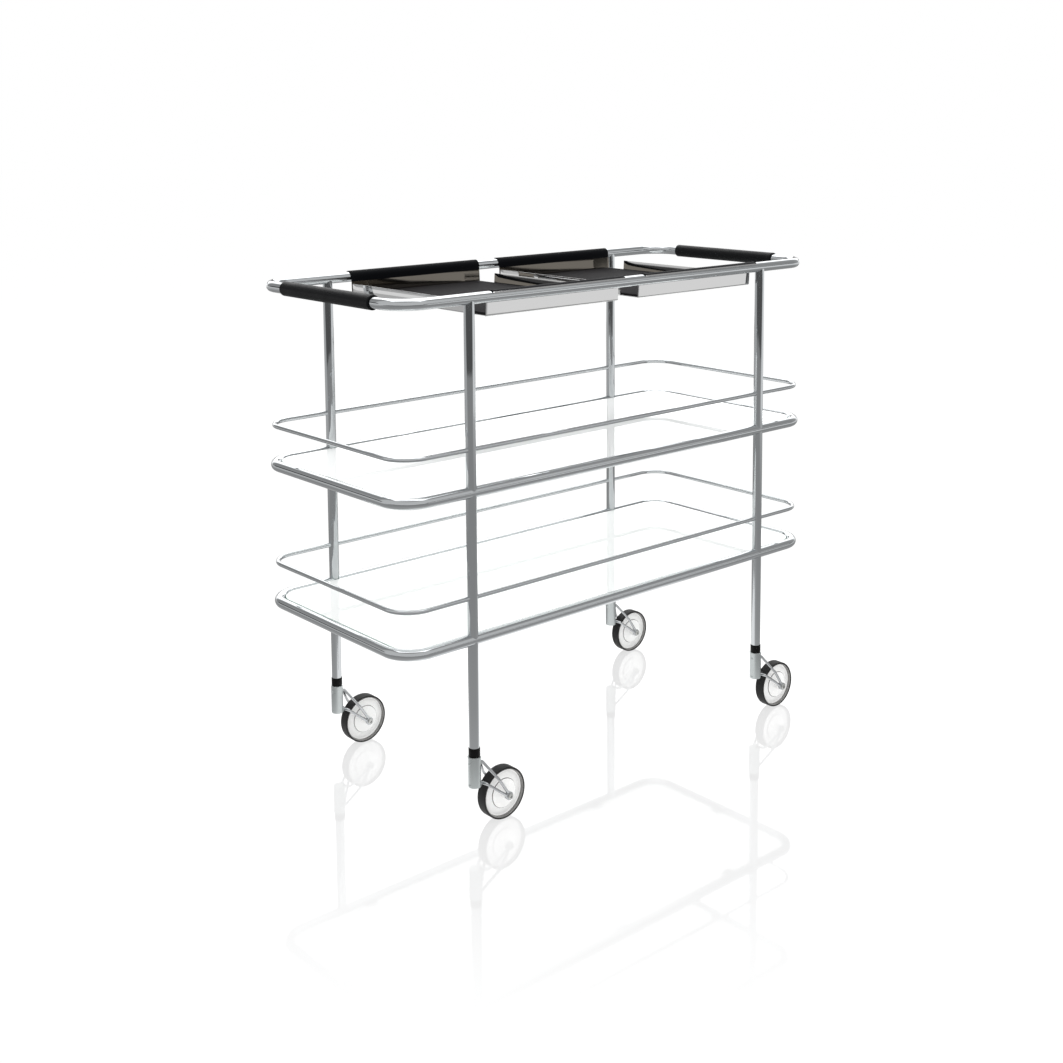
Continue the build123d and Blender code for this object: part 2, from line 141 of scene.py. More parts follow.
class StudioSettings(bpy.types.PropertyGroup):
    """The plain studio that the cart stands in."""
    ceiling: bpy.props.FloatProperty(
        name="Ceiling height", description="Height of the overhead softbox",
        default=4.0, min=0.5, subtype="DISTANCE", unit="LENGTH")
    softbox: bpy.props.FloatProperty(
        name="Softbox size", description="Edge of the square overhead softbox",
        default=4.0, min=0.1, subtype="DISTANCE", unit="LENGTH")
    softbox_ahead: bpy.props.FloatProperty(
        name="Softbox place", description="How far behind the cart the softbox hangs, seen from the camera",
        default=0.75, subtype="DISTANCE", unit="LENGTH")
    softbox_level: bpy.props.FloatProperty(
        name="Softbox level", description="Brightness of the softbox, where 1 is white", default=1.5, min=0)
    ambient: bpy.props.FloatProperty(
        name="Ambient level", description="Light of the white room on matte surfaces", default=1.0, min=0)


# ---- Mesh helpers ----

def finish_mesh(name, mesh, materials):
    """Make an object of a mesh, with its finishes, at the origin."""
    piece = bpy.data.objects.new(name, mesh)
    bpy.context.scene.collection.objects.link(piece)
    for material in materials:
        mesh.materials.append(material)
    return piece


def dress(node, name):
    """Give a CAD node that is shown as it is a finish."""
    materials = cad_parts[node].data.materials
    materials.clear()
    materials.append(finish(name))


def mount(piece, body, slot, *nodes):
    """Let a piece ride on a body and stand for CAD nodes. The slot is not used."""
    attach(piece, body)
    if nodes:
        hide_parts(*nodes)


def applied(piece):
    """Turn a piece with modifiers into a plain mesh of the same name."""
    graph = bpy.context.evaluated_depsgraph_get()
    mesh = bpy.data.meshes.new_from_object(piece.evaluated_get(graph))
    old = piece.data
    piece.modifiers.clear()
    piece.data = mesh
    bpy.data.meshes.remove(old)


def smooth_by_angle(mesh, degrees=35):
    """Shade a mesh smooth, but keep edges sharper than an angle."""
    mesh.shade_smooth()
    mesh.set_sharp_from_angle(angle=math.radians(degrees))


def rounded_corners(corners, closed, steps=6):
    """Points of a flat outline whose corners (x, y, radius) are rounded with arcs."""
    points = []
    count = len(corners)
    for i, (x, y, radius) in enumerate(corners):
        here = Vector((x, y))
        at_end = not closed and i in (0, count - 1)
        if radius == 0 or at_end:
            points.append(here)
            continue
        before = (Vector(corners[i - 1][:2]) - here).normalized()
        after = (Vector(corners[(i + 1) % count][:2]) - here).normalized()
        half = before.angle(after) / 2
        reach = radius / math.tan(half)
        centre = here + (before + after).normalized() * (radius / math.sin(half))
        start = here + before * reach - centre
        turn = start.angle_signed(here + after * reach - centre)
        for k in range(steps + 1):
            points.append(centre + Matrix.Rotation(-turn * k / steps, 2) @ start)
    return points


def turned(profile, centre, axis, sides=64, closed=True):
    """A mesh turned on a lathe: a profile of (radius, height) points spun about an axis."""
    turn = Vector((0, 0, 1)).rotation_difference(Vector(axis)).to_matrix()
    form = bmesh.new()
    rings = []
    for radius, height in profile:
        if radius < 1e-7:
            rings.append([form.verts.new(centre + turn @ Vector((0, 0, height)))])
            continue
        ring = []
        for k in range(sides):
            angle = 2 * math.pi * k / sides
            place = Vector((radius * math.cos(angle), radius * math.sin(angle), height))
            ring.append(form.verts.new(centre + turn @ place))
        rings.append(ring)
    pairs = list(zip(rings, rings[1:]))
    if closed:
        pairs.append((rings[-1], rings[0]))
    for low, high in pairs:
        for k in range(sides):
            following = (k + 1) % sides
            if len(low) == 1 and len(high) == 1:
                break
            if len(low) == 1:
                form.faces.new((low[0], high[following], high[k]))
            elif len(high) == 1:
                form.faces.new((low[k], low[following], high[0]))
            else:
                form.faces.new((low[k], low[following], high[following], high[k]))
    bmesh.ops.recalc_face_normals(form, faces=form.faces)
    return form


def to_mesh(form, name, degrees=35):
    """Write a bmesh to a mesh, shaded smooth by angle."""
    mesh = bpy.data.meshes.new(name)
    form.to_mesh(mesh)
    form.free()
    smooth_by_angle(mesh, degrees)
    return mesh


def joined(forms):
    """One bmesh that holds the shells of several."""
    whole = bmesh.new()
    for form in forms:
        part = bpy.data.meshes.new("part")
        form.to_mesh(part)
        form.free()
        whole.from_mesh(part)
        bpy.data.meshes.remove(part)
    return whole


def rounded_box(low, high, bevel):
    """A box with rounded edges, as a bmesh."""
    form = bmesh.new()
    bmesh.ops.create_cube(form, size=1)
    size = high - low
    bmesh.ops.transform(form, matrix=Matrix.Diagonal((*size, 1)), verts=form.verts)
    bmesh.ops.translate(form, vec=(low + high) / 2, verts=form.verts)
    bmesh.ops.bevel(form, geom=form.edges, offset=bevel, segments=3, profile=0.5, affect="EDGES")
    return form


# ---- Nodes ----

def linear(text):
    """An sRGB hex colour as linear red, green, blue and alpha."""
    values = [int(text[i:i + 2], 16) / 255 for i in (1, 3, 5)]
    return (*[v / 12.92 if v <= 0.04045 else ((v + 0.055) / 1.055) ** 2.4 for v in values], 1)


def add(tree, kind, inputs=None, **settings):
    """Add a node with its settings. An input is a value, or a socket to link from."""
    node = tree.nodes.new(kind)
    for name, value in settings.items():
        setattr(node, name, value)
    for name, value in (inputs or {}).items():
        if isinstance(value, bpy.types.NodeSocket):
            tree.links.new(value, node.inputs[name])
        else:
            node.inputs[name].default_value = value
    return node


def new_material(name):
    """An empty material, with its tree and its output node."""
    material = bpy.data.materials.new(name)
    material.use_nodes = True
    material.node_tree.nodes.clear()
    return material, material.node_tree, add(material.node_tree, "ShaderNodeOutputMaterial")


def noise(tree, size, detail):
    """Noise whose blobs have a real size in metres, on the piece's own coordinates."""
    place = add(tree, "ShaderNodeTexCoord")
    return add(tree, "ShaderNodeTexNoise", {
        "Vector": place.outputs["Object"], "Scale": 1 / size, "Detail": detail}).outputs["Fac"]


def uneven(tree, size, detail, low, high):
    """A value that wanders between two limits over a real size, such as haze in a polish."""
    return add(tree, "ShaderNodeMapRange", {
        "Value": noise(tree, size, detail), "From Min": 0.3, "From Max": 0.7,
        "To Min": low, "To Max": high}).outputs["Result"]


def relief(tree, size, detail, strength, depth):
    """The normal of a surface that rises and falls over a real size, by up to a depth."""
    return add(tree, "ShaderNodeBump", {
        "Height": noise(tree, size, detail), "Strength": strength, "Distance": depth}).outputs["Normal"]


def mottled(tree, size, detail, colour, other):
    """A colour that wanders to another one over a real size, as dust and wear make it do."""
    return add(tree, "ShaderNodeMix", {
        "Factor": noise(tree, size, detail), "A": linear(colour), "B": linear(other)},
        data_type="RGBA").outputs["Result"]


def surface(name, inputs_of):
    """A material of one Principled shader. inputs_of(tree) gives the shader's inputs."""
    material, tree, output = new_material(name)
    shader = add(tree, "ShaderNodeBsdfPrincipled", inputs_of(tree))
    tree.links.new(shader.outputs["BSDF"], output.inputs["Surface"])
    return material


def chrome_plating(colour):
    """Bright chromium plating on polished steel tube.

    A mirror with a cool grey body: its colour comes from what it reflects. Handling leaves
    faint haze, and the drawn tube under it waves very slightly over tens of millimetres."""
    return surface("chromium_plated_tube", lambda tree: {
        "Base Color": linear(colour), "Metallic": 1.0,
        "Roughness": uneven(tree, 60 * MM, 4, 0.03, 0.07),
        "Normal": relief(tree, 35 * MM, 1, 0.05, 1 * MM)})


def polished_sheet(colour, name):
    """Polished stainless sheet: a softer mirror than chrome, with slow waves from rolling and bending.

    Inside the trays, the floor and the side walls take a darker, warmer colour, which is painted
    shade. It was chosen, and isn't known of the real sheet."""
    return surface(name, lambda tree: {
        "Base Color": linear(colour), "Metallic": 1.0,
        "Roughness": uneven(tree, 90 * MM, 5, 0.035, 0.07),
        "Normal": relief(tree, 70 * MM, 1, 0.08, 2 * MM)})


def hook_coating():
    """Black vinyl coat on the inside and top of the trays' hooks: smooth and dull.

    The coat is a guess. Bare steel hooks that mirror something dark could look the same."""
    return surface("dipped_black_vinyl", lambda tree: {
        "Base Color": linear("#0C0D10"), "Roughness": 0.5, "IOR": 1.5, "Specular IOR Level": 0.03,
        "Normal": relief(tree, 3 * MM, 2, 0.1, 0.1 * MM)})


def satin_glass(colour):
    """Acid-etched float glass: milky, under a clear top that mirrors the rods.

    Real glass doesn't glow. The emission was added to keep the shaded upper shelf white,
    and makes the shelves shine in the dark: take it out for use under other light."""
    return surface("satin_float_glass", lambda tree: {
        "Base Color": linear(colour), "Roughness": 0.6, "IOR": 1.52, "Transmission Weight": 0.05,
        "Coat Weight": 1.0, "Coat Roughness": 0.015, "Coat IOR": 1.5,
        "Emission Color": linear("#FFFFFF"), "Emission Strength": 0.12})


def glass_edge():
    """The ground edge of float glass, where the long path through it shows its iron green."""
    return surface("ground_glass_edge", lambda tree: {
        "Base Color": linear("#B9D6CB"), "Roughness": 0.25, "IOR": 1.52, "Transmission Weight": 0.3})


def grip_cover(colour):
    """Smooth black foam rubber with a faint pebble, which gives broad soft highlights."""
    return surface("moulded_black_grip", lambda tree: {
        "Base Color": linear(colour), "IOR": 1.5, "Specular IOR Level": 0.12,
        "Roughness": uneven(tree, 22 * MM, 2, 0.4, 0.5),
        "Normal": relief(tree, 0.9 * MM, 3, 0.25, 0.15 * MM)})


def rubber_mat(colour):
    """Matte rubber sheet with a fine cloth-like print, which breaks up highlights."""
    return surface("rubber_tray_mat", lambda tree: {
        "Base Color": mottled(tree, 60 * MM, 3, colour, "#222122"),
        "Roughness": 0.7, "IOR": 1.5, "Specular IOR Level": 0.04,
        "Normal": relief(tree, 0.8 * MM, 4, 0.5, 0.2 * MM)})


def tyre_rubber(colour):
    """Solid black rubber, moulded smooth and dulled by rolling: dark grey with a dusty bloom."""
    return surface("solid_rubber_tyre", lambda tree: {
        "Base Color": mottled(tree, 14 * MM, 5, colour, "#2C2C2C"),
        "Roughness": 0.55, "IOR": 1.52, "Specular IOR Level": 0.12,
        "Normal": relief(tree, 0.6 * MM, 3, 0.3, 0.1 * MM)})


def black_nylon():
    """Moulded black nylon: nearly black with a dull shine."""
    return surface("moulded_black_nylon", lambda tree: {
        "Base Color": linear("#060606"), "Roughness": 0.38, "IOR": 1.53, "Specular IOR Level": 0.12,
        "Normal": relief(tree, 0.7 * MM, 2, 0.15, 0.05 * MM)})


def cast_housing():
    """Die-cast zinc with a satin nickel plate: pale, faintly green grey, with soft reflections."""
    return surface("satin_nickel_casting", lambda tree: {
        "Base Color": linear("#B3B8B8"), "Metallic": 1.0,
        "Roughness": uneven(tree, 12 * MM, 3, 0.26, 0.36),
        "Normal": relief(tree, 1.2 * MM, 3, 0.12, 0.06 * MM)})


def near_white_wheel_finish():
    """An almost white finish on the spun wheel discs, with a soft gloss.

    What makes the real discs look this white isn't known."""
    return surface("near_white_wheel_disc", lambda tree: {
        "Base Color": linear("#FDFDFC"), "IOR": 1.5, "Roughness": uneven(tree, 9 * MM, 3, 0.2, 0.3)})


def turned_aluminium():
    """Bare turned aluminium of the wheel's rim and the step round its hub: grey, with a dull shine."""
    return surface("turned_aluminium_rim", lambda tree: {
        "Base Color": linear("#8C8B8A"), "Metallic": 1.0,
        "Roughness": uneven(tree, 7 * MM, 3, 0.14, 0.24)})


def zinc_steel():
    """Zinc-plated turned steel of bolts, stems and sleeves: grey with a dull shine."""
    return surface("zinc_plated_steel", lambda tree: {
        "Base Color": linear("#B9BAB8"), "Metallic": 1.0,
        "Roughness": uneven(tree, 5 * MM, 3, 0.2, 0.3)})


def clear_pad():
    """Clear soft vinyl of the shelf pads: milky, with a slight shine."""
    return surface("clear_vinyl_pad", lambda tree: {
        "Base Color": linear("#DCE0DE"), "IOR": 1.5, "Transmission Weight": 0.5,
        "Roughness": uneven(tree, 4 * MM, 2, 0.3, 0.45)})


FINISHES = {}


def finish(name):
    """A finish by its short name, made once."""
    colours = bpy.context.scene.cart_colours
    makers = {
        "chrome": lambda: chrome_plating(colours.chrome),
        "wire": lambda: chrome_plating(colours.wire),
        "sheet": lambda: polished_sheet(colours.sheet_steel, "polished_stainless_sheet"),
        # The inside finish is the polished sheet in a darker colour: painted shade.
        "inner": lambda: polished_sheet(colours.sheet_inside_painted_shade, "stainless_sheet_painted_shade"),
        "coat": hook_coating,
        "glass": lambda: satin_glass(colours.glass),
        "glass_edge": glass_edge,
        "grip": lambda: grip_cover(colours.grip),
        "mat": lambda: rubber_mat(colours.mat),
        "tyre": lambda: tyre_rubber(colours.rubber),
        "nylon": black_nylon,
        "housing": cast_housing,
        "wheel": near_white_wheel_finish,
        "rim": turned_aluminium,
        "zinc": zinc_steel,
        "pad": clear_pad,
    }
    if name not in FINISHES:
        FINISHES[name] = makers[name]()
    return FINISHES[name]


# ---- Bent tube, by geometry nodes ----

def bent_tube_tree():
    """A node tree that turns a path with bend radii into round tube."""
    found = bpy.data.node_groups.get("Bent tube")
    if found:
        return found
    tree = bpy.data.node_groups.new("Bent tube", "GeometryNodeTree")
    face = tree.interface
    face.new_socket("Path", in_out="INPUT", socket_type="NodeSocketGeometry")
    for name, kind, value in (
        ("Tube Radius", "NodeSocketFloat", 0.01),
        ("Bend Steps", "NodeSocketInt", 16),
        ("Sides", "NodeSocketInt", 32),
        ("Finish", "NodeSocketMaterial", None),
    ):
        socket = face.new_socket(name, in_out="INPUT", socket_type=kind)
        if value is not None:
            socket.default_value = value
    face.new_socket("Tube", in_out="OUTPUT", socket_type="NodeSocketGeometry")
    given = add(tree, "NodeGroupInput").outputs
    path = add(tree, "GeometryNodeMeshToCurve", {"Mesh": given["Path"]})
    radius = add(tree, "GeometryNodeInputNamedAttribute", {"Name": "bend"}, data_type="FLOAT")
    bends = add(tree, "GeometryNodeFilletCurve", {
        "Curve": path.outputs["Curve"], "Count": given["Bend Steps"],
        "Radius": radius.outputs["Attribute"]}, mode="POLY")
    circle = add(tree, "GeometryNodeCurvePrimitiveCircle", {
        "Resolution": given["Sides"], "Radius": given["Tube Radius"]})
    tube = add(tree, "GeometryNodeCurveToMesh", {
        "Curve": bends.outputs["Curve"], "Profile Curve": circle.outputs["Curve"], "Fill Caps": True})
    whole = add(tree, "GeometryNodeRealizeInstances", {"Geometry": tube.outputs["Mesh"]})
    coated = add(tree, "GeometryNodeSetMaterial", {
        "Geometry": whole.outputs["Geometry"], "Material": given["Finish"]})
    add(tree, "NodeGroupOutput", {"Tube": coated.outputs["Geometry"]})
    return tree


def bent_tube(name, paths, radius, material, closed=False, sides=None):
    """Tube along one or more paths, each a list of (point, bend radius)."""
    sizes = bpy.context.scene.cart_sizes
    points, edges, bends = [], [], []
    for path in paths:
        first = len(points)
        points += [place for place, bend in path]
        bends += [bend for place, bend in path]
        edges += [(first + i, first + i + 1) for i in range(len(path) - 1)]
        if closed:
            edges.append((first + len(path) - 1, first))
    mesh = bpy.data.meshes.new(name)
    mesh.from_pydata(points, edges, [])
    mesh.attributes.new("bend", "FLOAT", "POINT").data.foreach_set("value", bends)
    piece = finish_mesh(name, mesh, [])
    tree = bent_tube_tree()
    modifier = piece.modifiers.new("Tube", "NODES")
    modifier.node_group = tree
    values = {
        "Tube Radius": radius, "Bend Steps": sizes.bend_steps,
        "Sides": sides or sizes.sides, "Finish": material,
    }
    for item in tree.interface.items_tree:
        if item.item_type == "SOCKET" and item.in_out == "INPUT" and item.name in values:
            modifier[item.identifier] = values[item.name]
    applied(piece)
    smooth_by_angle(piece.data, 50)
    return piece


# ---- Frame tubes ----

def ring_path(height):
    """The closed path of the rail or a shelf ring."""
    bend = bpy.context.scene.cart_sizes.ring_corner
    x, y = RING_HALF
    # A point in each long side's middle keeps the seam on a straight run.
    corners = [(-x, -y, bend), (0, -y, 0), (x, -y, bend), (x, y, bend), (0, y, 0), (-x, y, bend)]
    return [(Vector((a, b, height)), radius) for a, b, radius in corners]


class CART_OT_rings(bpy.types.Operator):
    """Make the top rail and the two shelf rings of bent chromed tube"""
    bl_idname = "cart.rings"
    bl_label = "Rail and shelf rings"

    def execute(self, context):
        for node in ("top_rail", "upper_shelf_ring", "lower_shelf_ring"):
            ring = bent_tube(
                f"{node}_tube", [ring_path(middle(node).z)], RAIL_RADIUS, finish("chrome"), closed=True)
            mount(ring, "cart_frame", "polished_chrome", node)
        return {"FINISHED"}


class CART_OT_legs(bpy.types.Operator):
    """Make the four legs, each of three lengths between the rings"""
    bl_idname = "cart.legs"
    bl_label = "Legs"

    def execute(self, context):
        for corner in CORNERS:
            node = f"{corner}_leg"
            x, y, _ = middle(node)
            heights = [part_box(node)[0].z] + [
                middle(ring).z for ring in ("lower_shelf_ring", "upper_shelf_ring", "top_rail")]
            paths = [
                [(Vector((x, y, low)), 0), (Vector((x, y, high)), 0)]
                for low, high in zip(heights, heights[1:])]
            leg = bent_tube(f"{corner}_leg_tube", paths, LEG_RADIUS, finish("chrome"))
            mount(leg, "cart_frame", "polished_chrome", node)
        return {"FINISHED"}


class CART_OT_gallery(bpy.types.Operator):
    """Make the gallery rods: two straight ones and two end loops over each shelf"""
    bl_idname = "cart.gallery"
    bl_label = "Gallery rods"

    def execute(self, context):
        bend = context.scene.cart_sizes.loop_corner
        for shelf in SHELVES:
            height = middle(f"{shelf}_front_rod").z
            for name, y in (("front", -LEG_Y), ("back", LEG_Y)):
                node = f"{shelf}_{name}_rod"
                path = [(Vector((-LEG_X, y, height)), 0), (Vector((LEG_X, y, height)), 0)]
                rod = bent_tube(f"{node}_bar", [path], ROD_RADIUS, finish("chrome"), sides=32)
                mount(rod, "cart_frame", "polished_chrome", node)
            for name, side in SIDES.items():
                node = f"{shelf}_{name}_loop"
                far = side * (max(abs(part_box(node)[0].x), abs(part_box(node)[1].x)) - ROD_RADIUS)
                near = side * LEG_X
                path = [
                    (Vector((near, -LEG_Y, height)), 0), (Vector((far, -LEG_Y, height)), bend),
                    (Vector((far, LEG_Y, height)), bend), (Vector((near, LEG_Y, height)), 0)]
                loop = bent_tube(f"{node}_bar", [path], ROD_RADIUS, finish("chrome"), sides=32)
                mount(loop, "cart_frame", "polished_chrome", node)
        return {"FINISHED"}


# ---- Shelves ----

GLASS_CHAMFER = 0.6 * MM
PLATE_RIM = 1                           # the second of the glass plate's finishes


def slab(outline, low, high, chamfer):
    """A flat plate with chamfered edges. Faces of its rim get the second finish."""
    form = bmesh.new()
    count = len(outline)
    centre = sum(outline, Vector((0, 0))) / count

    def loop(height, inset):
        points = []
        for i, point in enumerate(outline):
            tangent = (outline[(i + 1) % count] - outline[i - 1]).normalized()
            inward = Vector((-tangent.y, tangent.x))
            if inward.dot(centre - point) < 0:
                inward = -inward
            x, y = point + inward * inset
            points.append(form.verts.new((x, y, height)))
        return points

    loops = [loop(low, chamfer), loop(low + chamfer, 0), loop(high - chamfer, 0), loop(high, chamfer)]
    for below, above in zip(loops, loops[1:]):
        for i in range(count):
            j = (i + 1) % count
            rim = form.faces.new((below[i], below[j], above[j], above[i]))
            rim.material_index = PLATE_RIM
    form.faces.new(loops[-1])
    form.faces.new(loops[0])
    bmesh.ops.recalc_face_normals(form, faces=form.faces)
    return form


class CART_OT_shelves(bpy.types.Operator):
    """Make the glass shelves and finish the tabs and pads that carry them"""
    bl_idname = "cart.shelves"
    bl_label = "Glass shelves"

    def execute(self, context):
        gap = RING_HALF.y - span("upper_glass_shelf").y / 2
        corner = context.scene.cart_sizes.ring_corner - gap
        for shelf in SHELVES:
            node = f"{shelf}_glass_shelf"
            low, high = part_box(node)
            outline = rounded_corners(
                [(low.x, low.y, corner), (high.x, low.y, corner),
                 (high.x, high.y, corner), (low.x, high.y, corner)], closed=True, steps=24)
            mesh = to_mesh(slab(outline, low.z, high.z, GLASS_CHAMFER), f"{shelf}_glass_plate", 30)
            glass = finish_mesh(f"{shelf}_glass_plate", mesh, [finish("glass"), finish("glass_edge")])
            mount(glass, "cart_frame", "shelf_glass", node)
            for kind, name in (("tabs", "chrome"), ("pads", "pad")):
                dress(f"{shelf}_shelf_{kind}", name)
        return {"FINISHED"}


# ---- Grips ----

GRIP_CLEARANCE = 0.05 * MM              # between the rail and the sleeve's bore
GRIP_STATION = 3 * MM                   # longest strip along the sleeve


class CART_OT_grips(bpy.types.Operator):
    """Make the padded grips on the ends of the rail"""
    bl_idname = "cart.grips"
    bl_label = "Grips"

    def execute(self, context):
        for name in SIDES:
            node = f"{name}_grip"
            half = span(node).y / 2
            outer = span(node).x / 2
            bore = RAIL_RADIUS + GRIP_CLEARANCE
            outline = rounded_corners(
                [(bore, -half, 0.6 * MM), (outer, -half, 1.2 * MM),
                 (outer, half, 1.2 * MM), (bore, half, 0.6 * MM)], closed=True)
            stations = []
            for here, following in zip(outline, outline[1:] + outline[:1]):
                stations.append(here)
                steps = int((following - here).length / GRIP_STATION)
                stations += [here.lerp(following, k / steps) for k in range(1, steps)]
            form = turned(stations, middle(node), (0, 1, 0), sides=72)
            sleeve = f"{name}_grip_sleeve"
            grip = finish_mesh(sleeve, to_mesh(form, sleeve), [finish("grip")])
            mount(grip, "cart_frame", "grip_leather", node)
        return {"FINISHED"}


# ---- Trays ----

FOLD_RADIUS = 1.5 * MM                  # inside radius of the sheet's folds
HOLD_BACK = 1.5 * MM                    # how far before a bend a flat run gets one more point
HOOK_LIP = math.radians(34)             # where the hook's lip ends, above level on the rail's outer side
END_WALL_HEIGHT = 21.9 * MM             # from the floor's middle surface to the end wall's top
END_WALL_GAP = 1.0 * MM                 # between an end wall and the side walls
COAT_REACH = 7.0 * MM                   # how far past the rail's centre the coat goes over the top
CUTS = 24                               # strips along the floor and across the end walls
SHEET, COAT, INSIDE_PAINTED_SHADE = range(3)          # the tray's finishes, in order


def held_flat(start, bend):
    """A point just short of a bend, which keeps the shading of the flat before it flat."""
    return bend + (start - bend).normalized() * HOLD_BACK


def tray_section(node, sizes):
    """Half of a tray's middle line, from the hook's lip down and in to the floor's edge."""
    low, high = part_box(node)
    half = sizes.sheet / 2
    rail_y, rail_z = RING_HALF.y, middle("top_rail").z
    radius = high.z - rail_z - half
    end = math.pi - sizes.side_lean
    steps = 40
    hook = []
    for k in range(steps + 1):
        angle = HOOK_LIP + (end - HOOK_LIP) * k / steps
        hook.append(Vector((rail_y + radius * math.cos(angle), rail_z + radius * math.sin(angle))))
    floor = low.z + half
    drop = hook[-1].y - floor
    corner_y = hook[-1].x - drop * math.tan(sizes.side_lean)
    bend = FOLD_RADIUS + half
    coat = rail_z - sizes.hook_coat
    hook.append(Vector((hook[-1].x - (hook[-1].y - coat) * math.tan(sizes.side_lean), coat)))
    wall = rounded_corners(
        [(*hook[-1], 0), (corner_y, floor, bend), (corner_y - 2 * bend, floor, 0)], closed=False, steps=8)
    return hook + [held_flat(wall[0], wall[1])] + wall[1:-1]


def tray_form(node, sizes):
    """A tray's middle surface: floor, side walls with hooks, and low end walls."""
    low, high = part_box(node)
    half = sizes.sheet / 2
    section = tray_section(node, sizes)
    edge_y = section[-1].x
    floor = low.z + half
    bend = FOLD_RADIUS + half
    x_low, x_high = low.x + half, high.x - half
    top = floor + END_WALL_HEIGHT
    lean = math.tan(sizes.end_lean)
    form = bmesh.new()
    made = {}

    def vertex(x, y, z):
        key = (round(x, 7), round(y, 7), round(z, 7))
        if key not in made:
            made[key] = form.verts.new((x, y, z))
        return made[key]

    # End walls stand inside the side walls. Each stops short of one corner, so that it is open.
    end_y = edge_y - END_WALL_GAP
    open_y = RING_HALF.y - (high.z - middle("top_rail").z - sizes.sheet) - sizes.corner_opening
    ends = {}
    for side, face in ((-1, x_low), (1, x_high)):
        foot = face - side * (top - floor) * lean
        ends[side] = rounded_corners(
            [(face, top, 0), (foot, floor, bend), (foot - side * 2 * bend, floor, 0)],
            closed=False, steps=8)[:-1]
        ends[side].insert(1, held_flat(*ends[side][:2]))
    floor_low, floor_high = ends[-1][-1].x, ends[1][-1].x
    # Long strips are cut into short ones.
    stations = [x_low] + [
        floor_low + (floor_high - floor_low) * k / CUTS for k in range(CUTS + 1)] + [x_high]
    coat_end = middle("top_rail").z - sizes.hook_coat
    coat_edge = RING_HALF.y + COAT_REACH
    for mirror in (-1, 1):
        for (y0, z0), (y1, z1) in zip(section, section[1:]):
            for x0, x1 in zip(stations, stations[1:]):
                face = form.faces.new((
                    vertex(x0, mirror * y0, z0), vertex(x1, mirror * y0, z0),
                    vertex(x1, mirror * y1, z1), vertex(x0, mirror * y1, z1)))
                coated = (z0 + z1) / 2 > coat_end and (y0 + y1) / 2 < coat_edge
                face.material_index = COAT if coated else SHEET
    inner_rows = [-open_y + 2 * open_y * k / CUTS for k in range(CUTS + 1)]
    outer_rows = [open_y + (end_y - open_y) * k / 4 for k in range(1, 5)]
    rows = [-edge_y] + [-y for y in outer_rows[::-1]] + inner_rows + outer_rows + [edge_y]
    for y0, y1 in zip(rows, rows[1:]):
        for x0, x1 in zip(stations[1:-1], stations[2:-1]):
            form.faces.new((
                vertex(x0, y0, floor), vertex(x1, y0, floor), vertex(x1, y1, floor), vertex(x0, y1, floor)))
    for side, profile in ends.items():
        wall_rows = [side * y for y in [-y for y in outer_rows[::-1]] + inner_rows]
        for (xa, za), (xb, zb) in zip(profile, profile[1:]):
            for y0, y1 in zip(wall_rows, wall_rows[1:]):
                form.faces.new((
                    vertex(xa, y0, za), vertex(xa, y1, za), vertex(xb, y1, zb), vertex(xb, y0, zb)))
    bmesh.ops.recalc_face_normals(form, faces=form.faces)
    return form


class CART_OT_trays(bpy.types.Operator):
    """Make the sheet metal trays that hook over the rail, and their mats"""
    bl_idname = "cart.trays"
    bl_label = "Trays and mats"

    def execute(self, context):
        sizes = context.scene.cart_sizes
        for name in SIDES:
            node = f"{name}_tray"
            mesh = to_mesh(tray_form(node, sizes), f"{name}_tray_sheet", 40)
            sheet = finish_mesh(f"{name}_tray_sheet", mesh, [
                finish("sheet"), finish("coat"), finish("inner")])
            thick = sheet.modifiers.new("Thickness", "SOLIDIFY")
            thick.thickness = sizes.sheet
            thick.offset = 0
            thick.use_even_offset = True
            rim = sheet.modifiers.new("Rim", "BEVEL")
            rim.width = 0.3 * MM
            rim.segments = 2
            rim.limit_method = "ANGLE"
            rim.angle_limit = math.radians(60)
            applied(sheet)
            smooth_by_angle(sheet.data, 40)
            above = middle(node)
            above.z = middle("top_rail").z
            # Faces of the floor and side walls that face into the tray take the darker sheet: painted shade.
            for face in sheet.data.polygons:
                inside = face.normal.dot(above - face.center) > 0
                if face.material_index == SHEET and inside and abs(face.normal.x) < 0.5:
                    face.material_index = INSIDE_PAINTED_SHADE
            mount(sheet, f"{name}_tray_body", "polished_steel", node)
            low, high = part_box(f"{name}_tray_mat")
            form = rounded_box(low, high, 0.5 * MM)
            mat = finish_mesh(f"{name}_mat", to_mesh(form, f"{name}_mat"), [finish("mat")])
            mount(mat, f"{name}_tray_body", "tray_mat", f"{name}_tray_mat")
        return {"FINISHED"}


# ---- Casters ----

WIRE_RADIUS = 2.5 * MM
WIRE_OFFSET = 3.4 * MM
LUG_HEIGHT = 9.0 * MM
LUG_WALL = 1.5 * MM
LUG_REACH = 2.5 * MM
UPPER_LUG_DROP = 11.7 * MM
TIGHT_BEND = 3.5 * MM
WIDE_BEND = 10.0 * MM
SPREAD_LENGTH = 26.0 * MM
KNEE_GAP = 1.0 * MM
EYE_RADIUS = 7.25 * MM
EYE_WIDTH = 6.0 * MM
BARREL_RADIUS = 11.0 * MM
BARREL_FLAT = 7.0 * MM
WIRE_SOCKET = 3.5 * MM
LIP_REACH = 0.7 * MM                    # how far the barrel's top lip stands out
PIN_BORE = 5.05 * MM                    # bore of the collar and the barrel, round the stem's pin
PIN_DEPTH = 40 * MM                     # depth of the barrel's bore
BOLT_RADIUS = 3 * MM
BOLT_BORE = 3.05 * MM                   # bore of the fork's eyes, round the axle bolt
HEAD_RADIUS = 5.2 * MM
HEAD_SOCKET = 2.5 * MM                  # radius of the socket in the bolt's heads
SLEEVE_BORE = 5.05 * MM                 # bore of the wheel, round its sleeve
HUB_RADIUS = 7.5 * MM
HUB_DISC = 25.5 * MM                    # radius of the raised disc round the hub
DISC_HALF = 8 * MM
